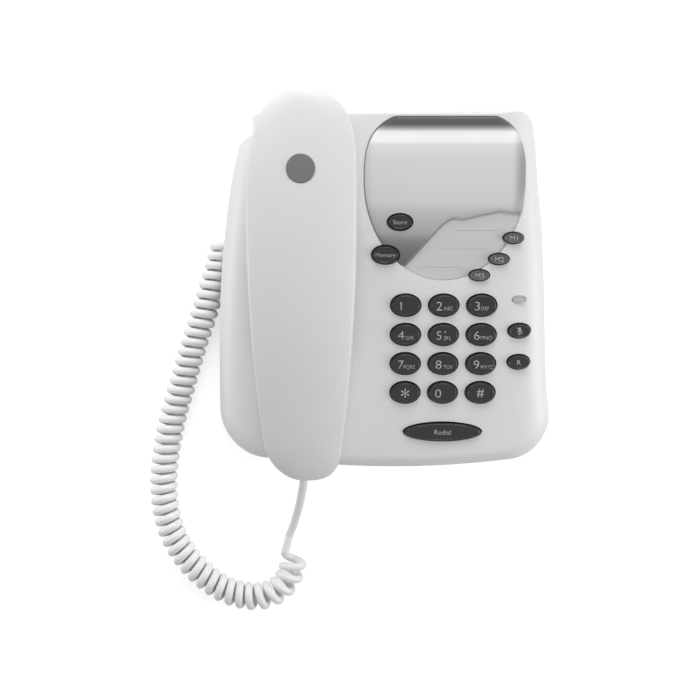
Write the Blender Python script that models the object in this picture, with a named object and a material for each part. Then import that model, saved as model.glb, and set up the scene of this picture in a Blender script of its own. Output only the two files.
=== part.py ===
"""Corded desk telephone: a sloped base with a handset cradle and keypad, a lift-off handset and a curly cord.

Metres, +Z up, +Y towards the back. The origin is on the table, under the middle of base and handset.
What sits on the sloped top face is drawn in the face's own frame: X across, V up the slope, W out of it.
"""

import math

import bmesh
import bpy
from mathutils import Vector

# Fits: the gap that touching pieces keep, and the gap round a piece that slides.
SEAT_GAP = 0.0003
SLIDE_GAP = 0.0004

# Base: plan
BACK_Y = 0.0932
FRONT_Y = 0.0951
FRONT_BOW = 0.0036
FRONT_BOW_SPAN = 0.060
FRONT_BOW_X = 0.005
HALF_WIDTH = 0.0904
RIGHT_SIDE_IN = ((0.0932, 0.0126), (0.060, 0.0098), (0.030, 0.0064), (-0.020, 0.0036), (-0.050, 0.0020))
LEFT_SIDE_IN = ((0.0932, 0.0170), (0.065, 0.0095), (0.035, 0.0046), (-0.004, 0.0011), (-0.050, 0.0))
SIDE_FULL_Y = -0.067
RADIUS_BACK_RIGHT = 0.009
RADIUS_BACK_LEFT = 0.010
RADIUS_FRONT_LEFT = 0.023
RADIUS_FRONT_RIGHT = 0.0205
SCOOP = ((-HALF_WIDTH + 0.0139, 0.0775), (-HALF_WIDTH + 0.0204, 0.0815))

# Base: section
FACE_SLOPE = math.radians(10.5)
FACE_HEIGHT = 0.0397
SHOULDER_LEFT = 0.024
SHOULDER_RIGHT = 0.021
SHOULDER_FRONT = 0.007
SHOULDER_BACK = 0.003
DROP_LEFT = 0.016
DROP_RIGHT = 0.012
DROP_FRONT = 0.008
DROP_BACK = 0.004
SHOULDER_FULLNESS = 2.2
WALL = 0.0025
FACE_WALL = 0.0030
PARTING_Z = 0.008
FOOT_HEIGHT = 0.002
FOOT_RADIUS = 0.006
FOOT_RECESS = 0.0005
FEET = {"front_left": (-HALF_WIDTH + 0.0220, -0.0771), "front_right": (HALF_WIDTH - 0.0340, -0.0771),
        "back_left": (-HALF_WIDTH + 0.0320, 0.0772), "back_right": (HALF_WIDTH - 0.0480, 0.0732)}
FLOOR = 0.0025
BOTTOM_TAPER = 0.0025
BOTTOM_BEVEL = 0.0015

# Side niche for the cord, and its jack
NICHE_DEPTH_X = 0.0094
NICHE_FRONT_Y = -0.014
NICHE_BACK_Y = 0.034
NICHE_TOP_Z = 0.018
CORD_JACK_Y = 0.0265
PLUG_WIDTH = 0.0077
PLUG_HEIGHT = 0.0065
PLUG_LENGTH = 0.0115
PLUG_PROUD = 0.0006
JACK_WALL = 0.0018
PLUG_FIT = 0.00035

# Cradle wells and handset caps
HANDSET_X = -0.0438
EAR_V = 0.064
MOUTH_V = -0.064
EAR_CAP_X = 0.0233
EAR_CAP_V = 0.0213
MOUTH_CAP_X = 0.0200
MOUTH_CAP_V = 0.0195
CAP_FIT = 0.0010
WELL_DEPTH = 0.0090
CAP_ROUND = 0.0025
CAP_SQUARENESS = 2.3

# Handset
HANDSET_BACK_V = 0.1028
HANDSET_FRONT_V = -0.1004
EAR_HALF_WIDTH = 0.0284
MOUTH_HALF_WIDTH = 0.0210
WIDEST_V = 0.040
EAR_END_LEFT_V = 0.039
EAR_END_RIGHT_V = 0.062
MOUTH_END_V = -0.079
EAR_END_SQUARENESS = 2.75
MOUTH_END_LEFT_SQUARENESS = 2.15
MOUTH_END_RIGHT_SQUARENESS = 3.7
EAR_LEAN_V = 0.070
RIM_MIDDLE = 0.0205
RIM_END = 0.0120
DOME = 0.0055
EDGE_ROUND = 0.0024
UNDERSIDE = 0.0010
GRIP_LIFT = 0.0090
GRIP_FLAT_V = 0.020
GRIP_END_V = 0.041
HANDSET_WALL = 0.0022
SPLIT_SHARE = 0.42
HANDSET_SCREW_V = (0.031, -0.032)
BADGE_V = 0.0655
BADGE_RADIUS = 0.0072
BADGE_THICKNESS = 0.0012
BADGE_PROUD = 0.0004
HANDSET_PLUG_W = 0.0079
HANDSET_PLUG_IN = 0.0042
SPEAKER_RADIUS = 0.016
SPEAKER_HEIGHT = 0.006
MICROPHONE_RADIUS = 0.005
MICROPHONE_HEIGHT = 0.005
HANDSET_WEIGHT_SIZE = (0.018, 0.034, 0.004)

# Silver panel, memory card and clear cover
SHIELD_X = 0.0308
SHIELD_V = 0.0585
SHIELD_HALF_WIDTH = 0.0424
SHIELD_LOW = 0.0525
SHIELD_HIGH = 0.0359
SHIELD_TOP = 0.0328
SHIELD_SQUARENESS = 3.0
WAVE_EDGE = ((0.0271, 0.0335), (0.0318, 0.0376), (0.0361, 0.0391), (0.0398, 0.0385),
             (0.0492, 0.0407), (0.0597, 0.0428))
WAVE_LEFT_ANGLE = math.radians(-120.3)
WAVE_RIGHT_ANGLE = math.radians(-19.7)
PANEL_RECESS = 0.0015
PANEL_CROWN = 0.0010
CARD_THICKNESS = 0.0003
COVER_THICKNESS = 0.0007

# Keys
KEY_COLUMN_X = 0.0309
KEY_PITCH_X = 0.0202
KEY_ROW_V = -0.0074
KEY_PITCH_V = 0.0158
KEY_HALF_WIDTH = 0.0084
KEY_HALF_LENGTH = 0.0062
KEY_PROUD = 0.0024
KEY_FLANGE = 0.0012
FLANGE_THICKNESS = 0.0012
DOME_HEIGHT = 0.0022
MEMBRANE_THICKNESS = 0.0012
BOARD_THICKNESS = 0.0016
BOARD_POST_RADIUS = 0.0018
BOARD_POSTS = ((-0.0105, -0.074), (HALF_WIDTH - 0.0239, -0.0625), (-0.0105, 0.0445),
               (HALF_WIDTH - 0.0249, 0.0445))
BOARD_X = (-0.0135, HALF_WIDTH - 0.0139)
BOARD_V = (-0.0800, 0.0475)
MEMBRANE_EDGE = 0.0038
BOARD_CORNER = (0.024, 0.030)
MEMBRANE_CORNER = (0.031, 0.039)
FUNCTION_KEYS = {
    "redial": (0.0311, -0.0765, 0.0212, 0.0052),
    "store": (0.0073, 0.0368, 0.0070, 0.0047),
    "memory": (-0.0002, 0.0195, 0.0074, 0.0050),
    "m1": (0.0671, 0.0283, 0.0060, 0.0034),
    "m2": (0.0597, 0.0172, 0.0060, 0.0034),
    "m3": (0.0495, 0.0086, 0.0060, 0.0034),
    "mute": (0.0714, -0.0212, 0.0063, 0.0042),
    "recall": (0.0714, -0.0381, 0.0063, 0.0042),
}
LENS_AT = (0.0712, -0.0044)
LENS_SIZE = (0.0038, 0.0021)
LENS_PROUD = 0.0007
LAMP_RADIUS = 0.0015
LAMP_HEIGHT = 0.0034

# Hook
HOOK_V = 0.056
HOOK_RADIUS = 0.003
HOOK_TRAVEL = 0.004
HOOK_FLANGE_RADIUS = 0.0050
HOOK_FLANGE = 0.0015
HOOK_SPRING_LENGTH = 0.0070
HOOK_SPRING_TURNS = 4
HOOK_SPRING_RADIUS = 0.0036
HOOK_SPRING_WIRE = 0.0006
HOOK_SWITCH_SIZE = (0.011, 0.011, 0.006)
HOOK_POST_RADIUS = 0.0045

# Back wall
LINE_JACK_X = 0.034
LINE_JACK_Z = 0.0165
LINE_JACK_OPENING = (0.0098, 0.0072, 0.0125)
LINE_JACK_NOSE = 0.0012
LINE_JACK_BODY = 0.0016
SLIDER_Z = 0.0165
SLIDER_X = {"ringer_switch": 0.006, "dial_mode_switch": -0.014}
SLIDER_KNOB = (0.0040, 0.0028)
SLIDER_TRAVEL = 0.003
SLIDER_PROUD = 0.0012
SLIDER_PLATE = 0.0015

# Inside the base
SOUNDER_AT = (0.020, 0.055)
SOUNDER_RADIUS = 0.0135
SOUNDER_HEIGHT = 0.005
WEIGHT_CENTRE = (0.022, -0.024)
WEIGHT_SIZE = (0.060, 0.080, 0.004)
SCREWS = {"front_left": (-HALF_WIDTH + 0.0129, -0.060), "front_right": (HALF_WIDTH - 0.0169, -0.070),
          "back_left": (-HALF_WIDTH + 0.0164, 0.0440), "back_right": (HALF_WIDTH - 0.0249, 0.0800)}
SCREW_RADIUS = 0.0014
SCREW_LENGTH = 0.010
SCREW_HEAD_RADIUS = 0.0027
SCREW_HEAD = 0.0018
SCREW_HEAD_DEPTH = 0.0030
BOSS_RADIUS = 0.0040

# Curly cord: a point of the route for each stretch, on the table, from the base to the handset
WIRE = 0.0040
COIL_OUTER = 0.0150
COIL_PITCH = 0.0056
COIL_LEAST_PITCH = 0.0049
COIL_POINTS_PER_TURN = 8
COIL_ROUTE = (
    (-0.0892, 0.0262), (-0.0922, 0.0150), (-0.0962, 0.0015), (-0.1012, -0.0140), (-0.1060, -0.0285),
    (-0.1120, -0.0495), (-0.1172, -0.0675), (-0.1206, -0.0845), (-0.1223, -0.1020), (-0.1213, -0.1185),
    (-0.1170, -0.1335), (-0.1091, -0.1467), (-0.0986, -0.1573), (-0.0868, -0.1648), (-0.0740, -0.1680),
    (-0.0640, -0.1668), (-0.0562, -0.1618), (-0.0518, -0.1548), (-0.0500, -0.1465), (-0.0480, -0.1385),
)
COIL_REST = 0.0001
COIL_STRAIGHT = 0.0055
COIL_EASE = 0.0060
TAIL_BENDS = ((-0.0500, -0.1275, 0.0112), (-0.0477, -0.1200, 0.0160), (-0.0458, -0.1125, 0.0212))
TAIL_LEAD = 0.0060

WHITE = (0.86, 0.86, 0.86)
CORD_WHITE = (0.84, 0.84, 0.84)
KEY_GREY = (0.045, 0.045, 0.047)
SILVER = (0.62, 0.62, 0.63)
RUBBER = (0.05, 0.05, 0.05)
STEEL = (0.55, 0.55, 0.56)
BOARD_GREEN = (0.03, 0.20, 0.09)
BLACK = (0.02, 0.02, 0.02)
CLEAR = (0.80, 0.82, 0.83)
PAPER = (0.78, 0.78, 0.77)
BADGE_GREY = (0.16, 0.16, 0.16)


# ------------------------------------------------------------------ general tools

def clear_scene():
    for old in list(bpy.data.objects):
        bpy.data.objects.remove(old, do_unlink=True)


def material(name, colour, roughness=0.5, metallic=0.0):
    """A Principled material of the given colour, made once."""
    found = bpy.data.materials.get(name)
    if found:
        return found
    made = bpy.data.materials.new(name)
    made.use_nodes = True
    shader = made.node_tree.nodes["Principled BSDF"]
    shader.inputs["Base Color"].default_value = (*colour, 1.0)
    shader.inputs["Roughness"].default_value = roughness
    shader.inputs["Metallic"].default_value = metallic
    return made


def mesh_object(name, points, faces, parent=None):
    """An object with its faces turned outwards."""
    mesh = bpy.data.meshes.new(name)
    mesh.from_pydata([tuple(point) for point in points], [], faces)
    shape = bmesh.new()
    shape.from_mesh(mesh)
    bmesh.ops.recalc_face_normals(shape, faces=shape.faces)
    shape.to_mesh(mesh)
    shape.free()
    made = bpy.data.objects.new(name, mesh)
    bpy.context.scene.collection.objects.link(made)
    made.parent = parent
    return made


def loft(name, rings, parent=None):
    """A closed solid through rings with the same number of points, capped at both ends."""
    count = len(rings[0])
    points = [point for ring in rings for point in ring]
    faces = [tuple(range(count)), tuple(range(len(points) - count, len(points)))]
    for level in range(len(rings) - 1):
        low = level * count
        for i in range(count):
            j = (i + 1) % count
            faces.append((low + i, low + j, low + count + j, low + count + i))
    return mesh_object(name, points, faces, parent)


def layers(name, outline, levels, parent=None):
    """A solid through copies of one outline, each at a height and drawn in by a share towards its middle."""
    middle = sum((Vector(point) for point in outline), Vector((0.0, 0.0))) / len(outline)
    rings = []
    for height, share in levels:
        drawn = [middle + (Vector(point) - middle) * share for point in outline]
        rings.append([(point.x, point.y, height) for point in drawn])
    return loft(name, rings, parent)


def prism(name, outline, low, high, parent=None):
    return layers(name, outline, ((low, 1.0), (high, 1.0)), parent)


def box(name, low, high, parent=None):
    outline = ((low[0], low[1]), (high[0], low[1]), (high[0], high[1]), (low[0], high[1]))
    return prism(name, outline, low[2], high[2], parent)


def oval(x, y, half_x, half_y, sides=24, squareness=2.0):
    """Points of an ellipse, or of a squarer oval with a higher squareness."""
    points = []
    for i in range(sides):
        angle = math.tau * i / sides
        across, along = math.cos(angle), math.sin(angle)
        points.append((x + half_x * math.copysign(abs(across) ** (2 / squareness), across),
                       y + half_y * math.copysign(abs(along) ** (2 / squareness), along)))
    return points


def drum(name, x, y, radius, low, high, sides=16, parent=None):
    return prism(name, oval(x, y, radius, radius, sides), low, high, parent)


def helper(made):
    """Marks an object that only cuts or joins others."""
    made.hide_render = True
    made.display_type = "WIRE"
    return made


def combine(target, other, operation):
    """A Boolean of two objects; the other one becomes a helper."""
    change = target.modifiers.new(other.name, "BOOLEAN")
    change.operation = operation
    change.object = helper(other)
    return target


def cut(target, other):
    return combine(target, other, "DIFFERENCE")


def join(target, other):
    return combine(target, other, "UNION")


def finish(made, name, colour, roughness=0.45, metallic=0.0, smooth_below=35):
    """Gives an object its material, and smooth shading up to the given angle between faces."""
    made.data.materials.append(material(name, colour, roughness, metallic))
    if made.type == "MESH":
        made.data.shade_smooth()
        made.data.set_sharp_from_angle(angle=math.radians(smooth_below))
    return made


def smooth_curve(points, per_span):
    """Points of a smooth curve through the given ones, whose spans are of like length."""
    ends = [Vector(point) for point in points]
    ends = [2 * ends[0] - ends[1], *ends, 2 * ends[-1] - ends[-2]]
    found = []
    for a, b, c, d in zip(ends, ends[1:], ends[2:], ends[3:]):
        for step in range(per_span):
            t = step / per_span
            found.append(0.5 * ((2 * b) + (c - a) * t + (2 * a - 5 * b + 4 * c - d) * t * t
                                + (3 * b - a - 3 * c + d) * t ** 3))
    return [*found, ends[-2]]


def ease(share):
    """A smooth step from 0 to 1."""
    share = min(1.0, max(0.0, share))
    return share * share * (3 - 2 * share)


# ------------------------------------------------------------------ base body

def face_z(y):
    """Height of the sloped face over the table at a distance from the origin."""
    return FACE_HEIGHT + y * math.tan(FACE_SLOPE)


def side_x(inset_table, y):
    """Half-width of one side at y, read smoothly from its insets and full from SIDE_FULL_Y forwards."""
    table = [*inset_table, (SIDE_FULL_Y, 0.0), (2 * SIDE_FULL_Y, 0.0)]
    table.insert(0, (2 * table[0][0] - table[1][0], 2 * table[0][1] - table[1][1]))
    y = max(SIDE_FULL_Y, min(y, table[1][0]))
    for before, start, end, after in zip(table, table[1:], table[2:], table[3:]):
        if y >= end[0]:
            break
    t = (start[0] - y) / (start[0] - end[0])
    slope_in = (end[1] - before[1]) / (before[0] - end[0]) * (start[0] - end[0])
    slope_out = (after[1] - start[1]) / (start[0] - after[0]) * (start[0] - end[0])
    inset = ((2 * t ** 3 - 3 * t ** 2 + 1) * start[1] + (t ** 3 - 2 * t ** 2 + t) * slope_in
             + (3 * t ** 2 - 2 * t ** 3) * end[1] + (t ** 3 - t ** 2) * slope_out)
    return HALF_WIDTH - inset


def base_outline(left_in, right_in, front_in, back_in, corner_in):
    """The base's plan drawn in by a width at each side: (x, y, drop) all round, anticlockwise from above."""
    back = BACK_Y - back_in

    def right(y):
        return side_x(RIGHT_SIDE_IN, y) - right_in

    def left(y):
        return left_in - side_x(LEFT_SIDE_IN, y)

    def front(x):
        return front_in - FRONT_Y + FRONT_BOW * ((x - FRONT_BOW_X) / FRONT_BOW_SPAN) ** 2

    def corner(start, middle, end, drop_start, drop_end, steps=5):
        """A round corner between two sides, with the drop changing from one side's to the other's."""
        weight = math.sqrt(0.5)
        for i in range(steps):
            t = i / (steps - 1)
            shares = ((1 - t) ** 2, 2 * weight * t * (1 - t), t * t)
            total = sum(shares)
            x, y = (sum(share * point[axis] for share, point in zip(shares, (start, middle, end))) / total
                    for axis in (0, 1))
            points.append((x, y, drop_start + (drop_end - drop_start) * ease(t)))

    def side(run, first, last, steps, drop):
        for i in range(1, steps):
            x, y = run(first + (last - first) * i / steps)
            points.append((x, y, drop))

    radii = [max(0.3 * radius, radius - corner_in)
             for radius in (RADIUS_BACK_RIGHT, RADIUS_BACK_LEFT, RADIUS_FRONT_LEFT, RADIUS_FRONT_RIGHT)]
    right_x, left_x = right(back), left(back)
    low_left, low_right = left(-FRONT_Y), right(-FRONT_Y)
    points = []
    corner((right_x, back - radii[0]), (right_x, back), (right_x - radii[0], back), DROP_RIGHT, DROP_BACK)
    side(lambda x: (x, back), right_x - radii[0], left_x + radii[1], 4, DROP_BACK)
    corner((left_x + radii[1], back), (left_x, back), (left(back - radii[1]), back - radii[1]),
           DROP_BACK, DROP_LEFT)
    left_end = front(low_left) + radii[2]
    side(lambda y: (left(y), y), back - radii[1], left_end, 9, DROP_LEFT)
    corner((left(left_end), left_end), (low_left, front(low_left)),
           (low_left + radii[2], front(low_left + radii[2])), DROP_LEFT, DROP_FRONT)
    side(lambda x: (x, front(x)), low_left + radii[2], low_right - radii[3], 7, DROP_FRONT)
    right_end = front(low_right) + radii[3]
    corner((low_right - radii[3], front(low_right - radii[3])), (low_right, front(low_right)),
           (right(right_end), right_end), DROP_FRONT, DROP_RIGHT)
    side(lambda y: (right(y), y), right_end, back - radii[0], 8, DROP_RIGHT)
    return points


def shoulder_rings(wall, lid, low_z, steps):
    """Rings from low_z up a wall, over the rounded shoulder, to the flat top face, less wall and lid."""
    outer = base_outline(wall, wall, wall, wall, wall)
    inner = base_outline(SHOULDER_LEFT, SHOULDER_RIGHT, SHOULDER_FRONT + wall, SHOULDER_BACK + wall,
                         SHOULDER_RIGHT)
    lid_z = lid / math.cos(FACE_SLOPE)
    rings = [[(x, y, low_z) for x, y, _ in outer]]
    for step in range(steps):
        angle = 0.5 * math.pi * step / (steps - 1)
        out = max(0.0, math.cos(angle)) ** (2 / SHOULDER_FULLNESS)
        up = math.sin(angle) ** (2 / SHOULDER_FULLNESS)
        ring = []
        for (x_out, y_out, drop), (x_in, y_in, _) in zip(outer, inner):
            x = x_in + (x_out - x_in) * out
            y = y_in + (y_out - y_in) * out
            ring.append((x, y, face_z(y) - lid_z - drop * (1 - up)))
        rings.append(ring)
    return rings


def well_outline(cap_x, cap_v, centre_v, clearance):
    return oval(HANDSET_X, centre_v, cap_x + clearance, cap_v + clearance, 20, CAP_SQUARENESS)


def niche_box(name, margin):
    """The cord's recess in the left wall, grown by a margin on its inner sides."""
    return box(name, (-1.3 * HALF_WIDTH, NICHE_FRONT_Y - margin, -PARTING_Z),
               (-HALF_WIDTH + NICHE_DEPTH_X + margin, NICHE_BACK_Y + margin, NICHE_TOP_Z + margin))


def scoop_cutter(name, margin):
    """The cut-away at the back left corner, where fingers reach the handset's ear end, grown by a margin."""
    (front_x, front_y), (back_x, back_y) = SCOOP
    far = 1.3 * HALF_WIDTH
    outline = ((-far, front_y - margin), (front_x + 0.4 * margin, front_y - margin),
               (back_x + margin, back_y - 0.4 * margin), (back_x + margin, far), (-far, far))
    return prism(name, outline, -PARTING_Z, far)


def line_jack_z_range(margin):
    height = LINE_JACK_OPENING[1]
    return LINE_JACK_Z - 0.5 * height - margin, LINE_JACK_Z + 0.5 * height + margin


def make_top_housing(face):
    """White shell: sloped face with key holes, panel seat and cradle wells, walls down to the parting."""
    housing = loft("base_top_housing", shoulder_rings(0.0, 0.0, PARTING_Z + 0.5 * SEAT_GAP, 5))
    cavity = loft("top_cavity", shoulder_rings(WALL, FACE_WALL, 0.0, 4))
    wells = (("ear", EAR_CAP_X, EAR_CAP_V, EAR_V), ("mouth", MOUTH_CAP_X, MOUTH_CAP_V, MOUTH_V))
    for name, cap_x, cap_v, centre_v in wells:
        outer = well_outline(cap_x, cap_v, centre_v, CAP_FIT + WALL)
        cut(cavity, prism(name + "_well_wall", outer, -WELL_DEPTH - WALL, 0.02, face))
    cut(cavity, niche_box("top_niche_wall", WALL))
    cut(cavity, scoop_cutter("top_scoop_wall", WALL))
    for name, (x, y) in SCREWS.items():
        cut(cavity, drum("top_boss_" + name, x, y, BOSS_RADIUS, 0.0, 0.08))
    board_top = board_levels()[1] + SEAT_GAP
    for i, (x, v) in enumerate(BOARD_POSTS):
        cut(cavity, drum("board_post_%d" % i, x, v, BOARD_POST_RADIUS, board_top, 0.02, 10, face))
    cut(housing, cavity)
    for name, cap_x, cap_v, centre_v in wells:
        well = well_outline(cap_x, cap_v, centre_v, CAP_FIT)
        cut(housing, prism(name + "_well", well, -WELL_DEPTH, 0.03, face))
    cut(housing, niche_box("top_niche", 0.0))
    cut(housing, scoop_cutter("top_scoop", 0.0))
    cut(housing, prism("panel_seat", shield(SEAT_GAP), -PANEL_RECESS, 0.02, face))
    for name, (x, v, half_x, half_v, sides) in key_plan().items():
        hole = oval(x, v, half_x + SLIDE_GAP, half_v + SLIDE_GAP, sides)
        cut(housing, prism("hole_" + name, hole, -0.009, 0.02, face))
    for name in ("m1", "m2", "mute", "recall"):
        x, v, half_x, half_v = FUNCTION_KEYS[name]
        room = oval(x, v, half_x + KEY_FLANGE + SLIDE_GAP, half_v + KEY_FLANGE + SLIDE_GAP, 14)
        cut(housing, prism("flange_room_" + name, room, -0.009, -FACE_WALL, face))
    cut(housing, prism("lens_hole", oval(*LENS_AT, LENS_SIZE[0] + SEAT_GAP, LENS_SIZE[1] + SEAT_GAP, 16),
                       -0.009, 0.02, face))
    cut(housing, drum("hook_hole", HANDSET_X, HOOK_V, HOOK_RADIUS + SLIDE_GAP, -WELL_DEPTH - 0.01, 0.0, 16,
                      face))
    for name, (x, y) in SCREWS.items():
        cut(housing, drum("top_pilot_" + name, x, y, SCREW_RADIUS + SEAT_GAP, 0.0,
                          FOOT_HEIGHT + SCREW_HEAD_DEPTH + SCREW_LENGTH + SEAT_GAP, 10))
    cut(housing, cord_plug_box("cord_plug_hole", PLUG_FIT, -HALF_WIDTH,
                               -HALF_WIDTH + NICHE_DEPTH_X + 2 * WALL))
    low, high = line_jack_z_range(LINE_JACK_NOSE + SEAT_GAP)
    half = 0.5 * LINE_JACK_OPENING[0] + LINE_JACK_NOSE + SEAT_GAP
    cut(housing, box("line_jack_hole", (LINE_JACK_X - half, BACK_Y - 2 * WALL, low),
                     (LINE_JACK_X + half, BACK_Y + WALL, high)))
    for name, x in SLIDER_X.items():
        half_x = 0.5 * SLIDER_KNOB[0] + SLIDER_TRAVEL + SLIDE_GAP
        half_z = 0.5 * SLIDER_KNOB[1] + SLIDE_GAP
        cut(housing, box(name + "_slot", (x - half_x, BACK_Y - 2 * WALL, SLIDER_Z - half_z),
                         (x + half_x, BACK_Y + WALL, SLIDER_Z + half_z)))
    finish(housing, "white_plastic", WHITE, 0.38)


def make_bottom_housing(face):
    """White tray under the top housing, with bosses, feet recesses and a post for the hook switch."""
    def ring(inset, z):
        return [(x, y, z) for x, y, _ in base_outline(inset, inset, inset, inset, inset)]

    top = PARTING_Z - 0.5 * SEAT_GAP
    chamfer = ring(BOTTOM_TAPER - BOTTOM_BEVEL, FOOT_HEIGHT + BOTTOM_BEVEL)
    tray = loft("base_bottom_housing", [ring(BOTTOM_TAPER, FOOT_HEIGHT), chamfer, ring(0.0, top)])
    floor_z = FOOT_HEIGHT + FLOOR
    cavity = loft("bottom_cavity", [ring(BOTTOM_TAPER + WALL, floor_z), ring(WALL, PARTING_Z + FLOOR)])
    cut(cavity, niche_box("bottom_niche_wall", WALL))
    cut(cavity, scoop_cutter("bottom_scoop_wall", WALL))
    for name, (x, y) in SCREWS.items():
        cut(cavity, drum("bottom_boss_" + name, x, y, BOSS_RADIUS + SEAT_GAP, 0.0, PARTING_Z + 2 * FLOOR))
    cut(tray, cavity)
    cut(tray, niche_box("bottom_niche", 0.0))
    cut(tray, scoop_cutter("bottom_scoop", 0.0))
    for name, (x, y) in SCREWS.items():
        cut(tray, drum("clearance_" + name, x, y, SCREW_RADIUS + SEAT_GAP, 0.0, 2 * PARTING_Z, 10))
        cut(tray, drum("counterbore_" + name, x, y, SCREW_HEAD_RADIUS + SEAT_GAP, 0.0,
                       FOOT_HEIGHT + SCREW_HEAD_DEPTH, 12))
    for name, (x, y) in FEET.items():
        cut(tray, drum("foot_recess_" + name, x, y, FOOT_RADIUS + SEAT_GAP, 0.0, FOOT_HEIGHT + FOOT_RECESS))
    face_above = face_z(HOOK_V * math.cos(FACE_SLOPE))
    post_low = (0.5 * (FOOT_HEIGHT + floor_z) - face_above) / math.cos(FACE_SLOPE)
    join(tray, drum("hook_post", HANDSET_X, HOOK_V, HOOK_POST_RADIUS, post_low,
                    hook_levels()[3] - SEAT_GAP, 12, face))
    finish(tray, "white_plastic", WHITE, 0.38)


def make_feet():
    for name, (x, y) in FEET.items():
        foot = drum("foot_" + name, x, y, FOOT_RADIUS, 0.0, FOOT_HEIGHT + FOOT_RECESS - SEAT_GAP)
        finish(foot, "rubber", RUBBER, 0.8)


def screw(name, x, y, head_low, parent=None, up=1):
    """A pan-head screw along the parent's third axis, its head outermost."""
    rings = []
    for radius, height in ((0.8 * SCREW_HEAD_RADIUS, 0.0), (SCREW_HEAD_RADIUS, 0.4 * SCREW_HEAD),
                           (SCREW_HEAD_RADIUS, SCREW_HEAD), (SCREW_RADIUS, SCREW_HEAD),
                           (SCREW_RADIUS, SCREW_LENGTH)):
        rings.append([(px, py, head_low + up * height) for px, py in oval(x, y, radius, radius, 10)])
    finish(loft(name, rings, parent), "steel", STEEL, 0.3, 1.0)


def make_base_screws():
    for name, (x, y) in SCREWS.items():
        screw("base_screw_" + name, x, y, FOOT_HEIGHT + SCREW_HEAD_DEPTH - SCREW_HEAD - SEAT_GAP)


# ------------------------------------------------------------------ panel, card and cover

def shield_point(angle, grow=0.0):
    """A point of the shield shape that the panel and the card share."""
    across, along = math.cos(angle), math.sin(angle)
    if along < 0:
        return (SHIELD_X + (SHIELD_HALF_WIDTH + grow) * across, SHIELD_V + (SHIELD_LOW + grow) * along)
    x = (SHIELD_HALF_WIDTH + grow) * math.copysign(abs(across) ** (2 / SHIELD_SQUARENESS), across)
    v = (SHIELD_HIGH + grow) * along ** (2 / SHIELD_SQUARENESS)
    return (SHIELD_X + x, SHIELD_V + min(v, SHIELD_TOP + grow))


def shield_arc(start, end, steps, grow=0.0):
    return [shield_point(start + (end - start) * i / steps, grow) for i in range(steps + 1)]


def shield(grow):
    return shield_arc(0.0, math.tau, 48, grow)[:-1]


def wave(shift_x=0.0, shift_v=0.0):
    """The edge where the silver panel meets the card, left to right, without its two ends on the shield."""
    points = smooth_curve([(x, v) for x, v in WAVE_EDGE], 2)
    return [(point[0] + shift_x, point[1] + shift_v) for point in points]


def make_panel(face):
    """Silver moulding in its seat, crowned a little, with room round the two keys that pass through it."""
    outline = [*shield_arc(WAVE_RIGHT_ANGLE, WAVE_LEFT_ANGLE + math.tau, 34, -SEAT_GAP), *wave()]
    low = -PANEL_RECESS + SEAT_GAP
    crown = ((low, 1.0), (0.0003, 1.0), (0.7 * PANEL_CROWN, 0.965), (PANEL_CROWN, 0.90))
    panel = layers("silver_fascia", outline, crown, face)
    for name in ("store", "memory"):
        x, v, half_x, half_v = FUNCTION_KEYS[name]
        hole = oval(x, v, half_x + SLIDE_GAP, half_v + SLIDE_GAP, 14)
        cut(panel, prism("panel_hole_" + name, hole, -0.01, 0.01, face))
    finish(panel, "silver", SILVER, 0.28, 0.9)


def card_outline(shrink):
    arc = shield_arc(WAVE_LEFT_ANGLE + math.radians(1.2), WAVE_RIGHT_ANGLE - math.radians(1.2), 20, -shrink)
    return [*arc, *reversed(wave(0.0003, -0.0004))]


def make_card_and_cover(face):
    """Paper card with a thin clear cover over it, both notched round the one-touch keys."""
    card_low = -PANEL_RECESS + SEAT_GAP
    cover_low = card_low + CARD_THICKNESS + SEAT_GAP
    card = prism("memory_card", card_outline(0.0006), card_low, card_low + CARD_THICKNESS, face)
    cover = prism("card_cover", card_outline(0.0003), cover_low, cover_low + COVER_THICKNESS, face)
    for piece in (card, cover):
        for name in ("m1", "m2", "m3"):
            x, v, half_x, half_v = FUNCTION_KEYS[name]
            hole = oval(x, v, half_x + SLIDE_GAP, half_v + SLIDE_GAP, 14)
            cut(piece, prism(piece.name + "_notch_" + name, hole, -0.01, 0.01, face))
    finish(card, "paper", PAPER, 0.8)
    finish(cover, "clear", CLEAR, 0.1)


# ------------------------------------------------------------------ keys and what is under them

def key_levels():
    """Heights of a key in the face frame: foot, flange top, crown."""
    flange_top = -FACE_WALL - SEAT_GAP
    return flange_top - FLANGE_THICKNESS, flange_top, KEY_PROUD


def board_levels():
    """Heights of the circuit board: underside and top."""
    top = key_levels()[0] - SEAT_GAP - DOME_HEIGHT - MEMBRANE_THICKNESS - SEAT_GAP
    return top - BOARD_THICKNESS, top


def key_plan():
    """Every key: centre, half sizes and number of sides."""
    keys = {}
    for row, names in enumerate((("1", "2", "3"), ("4", "5", "6"), ("7", "8", "9"), ("star", "0", "hash"))):
        for column, name in enumerate(names):
            keys[name] = (KEY_COLUMN_X + (column - 1) * KEY_PITCH_X, KEY_ROW_V - row * KEY_PITCH_V,
                          KEY_HALF_WIDTH, KEY_HALF_LENGTH, 16)
    for name, plan in FUNCTION_KEYS.items():
        keys[name] = (*plan, 12)
    return keys


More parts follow.
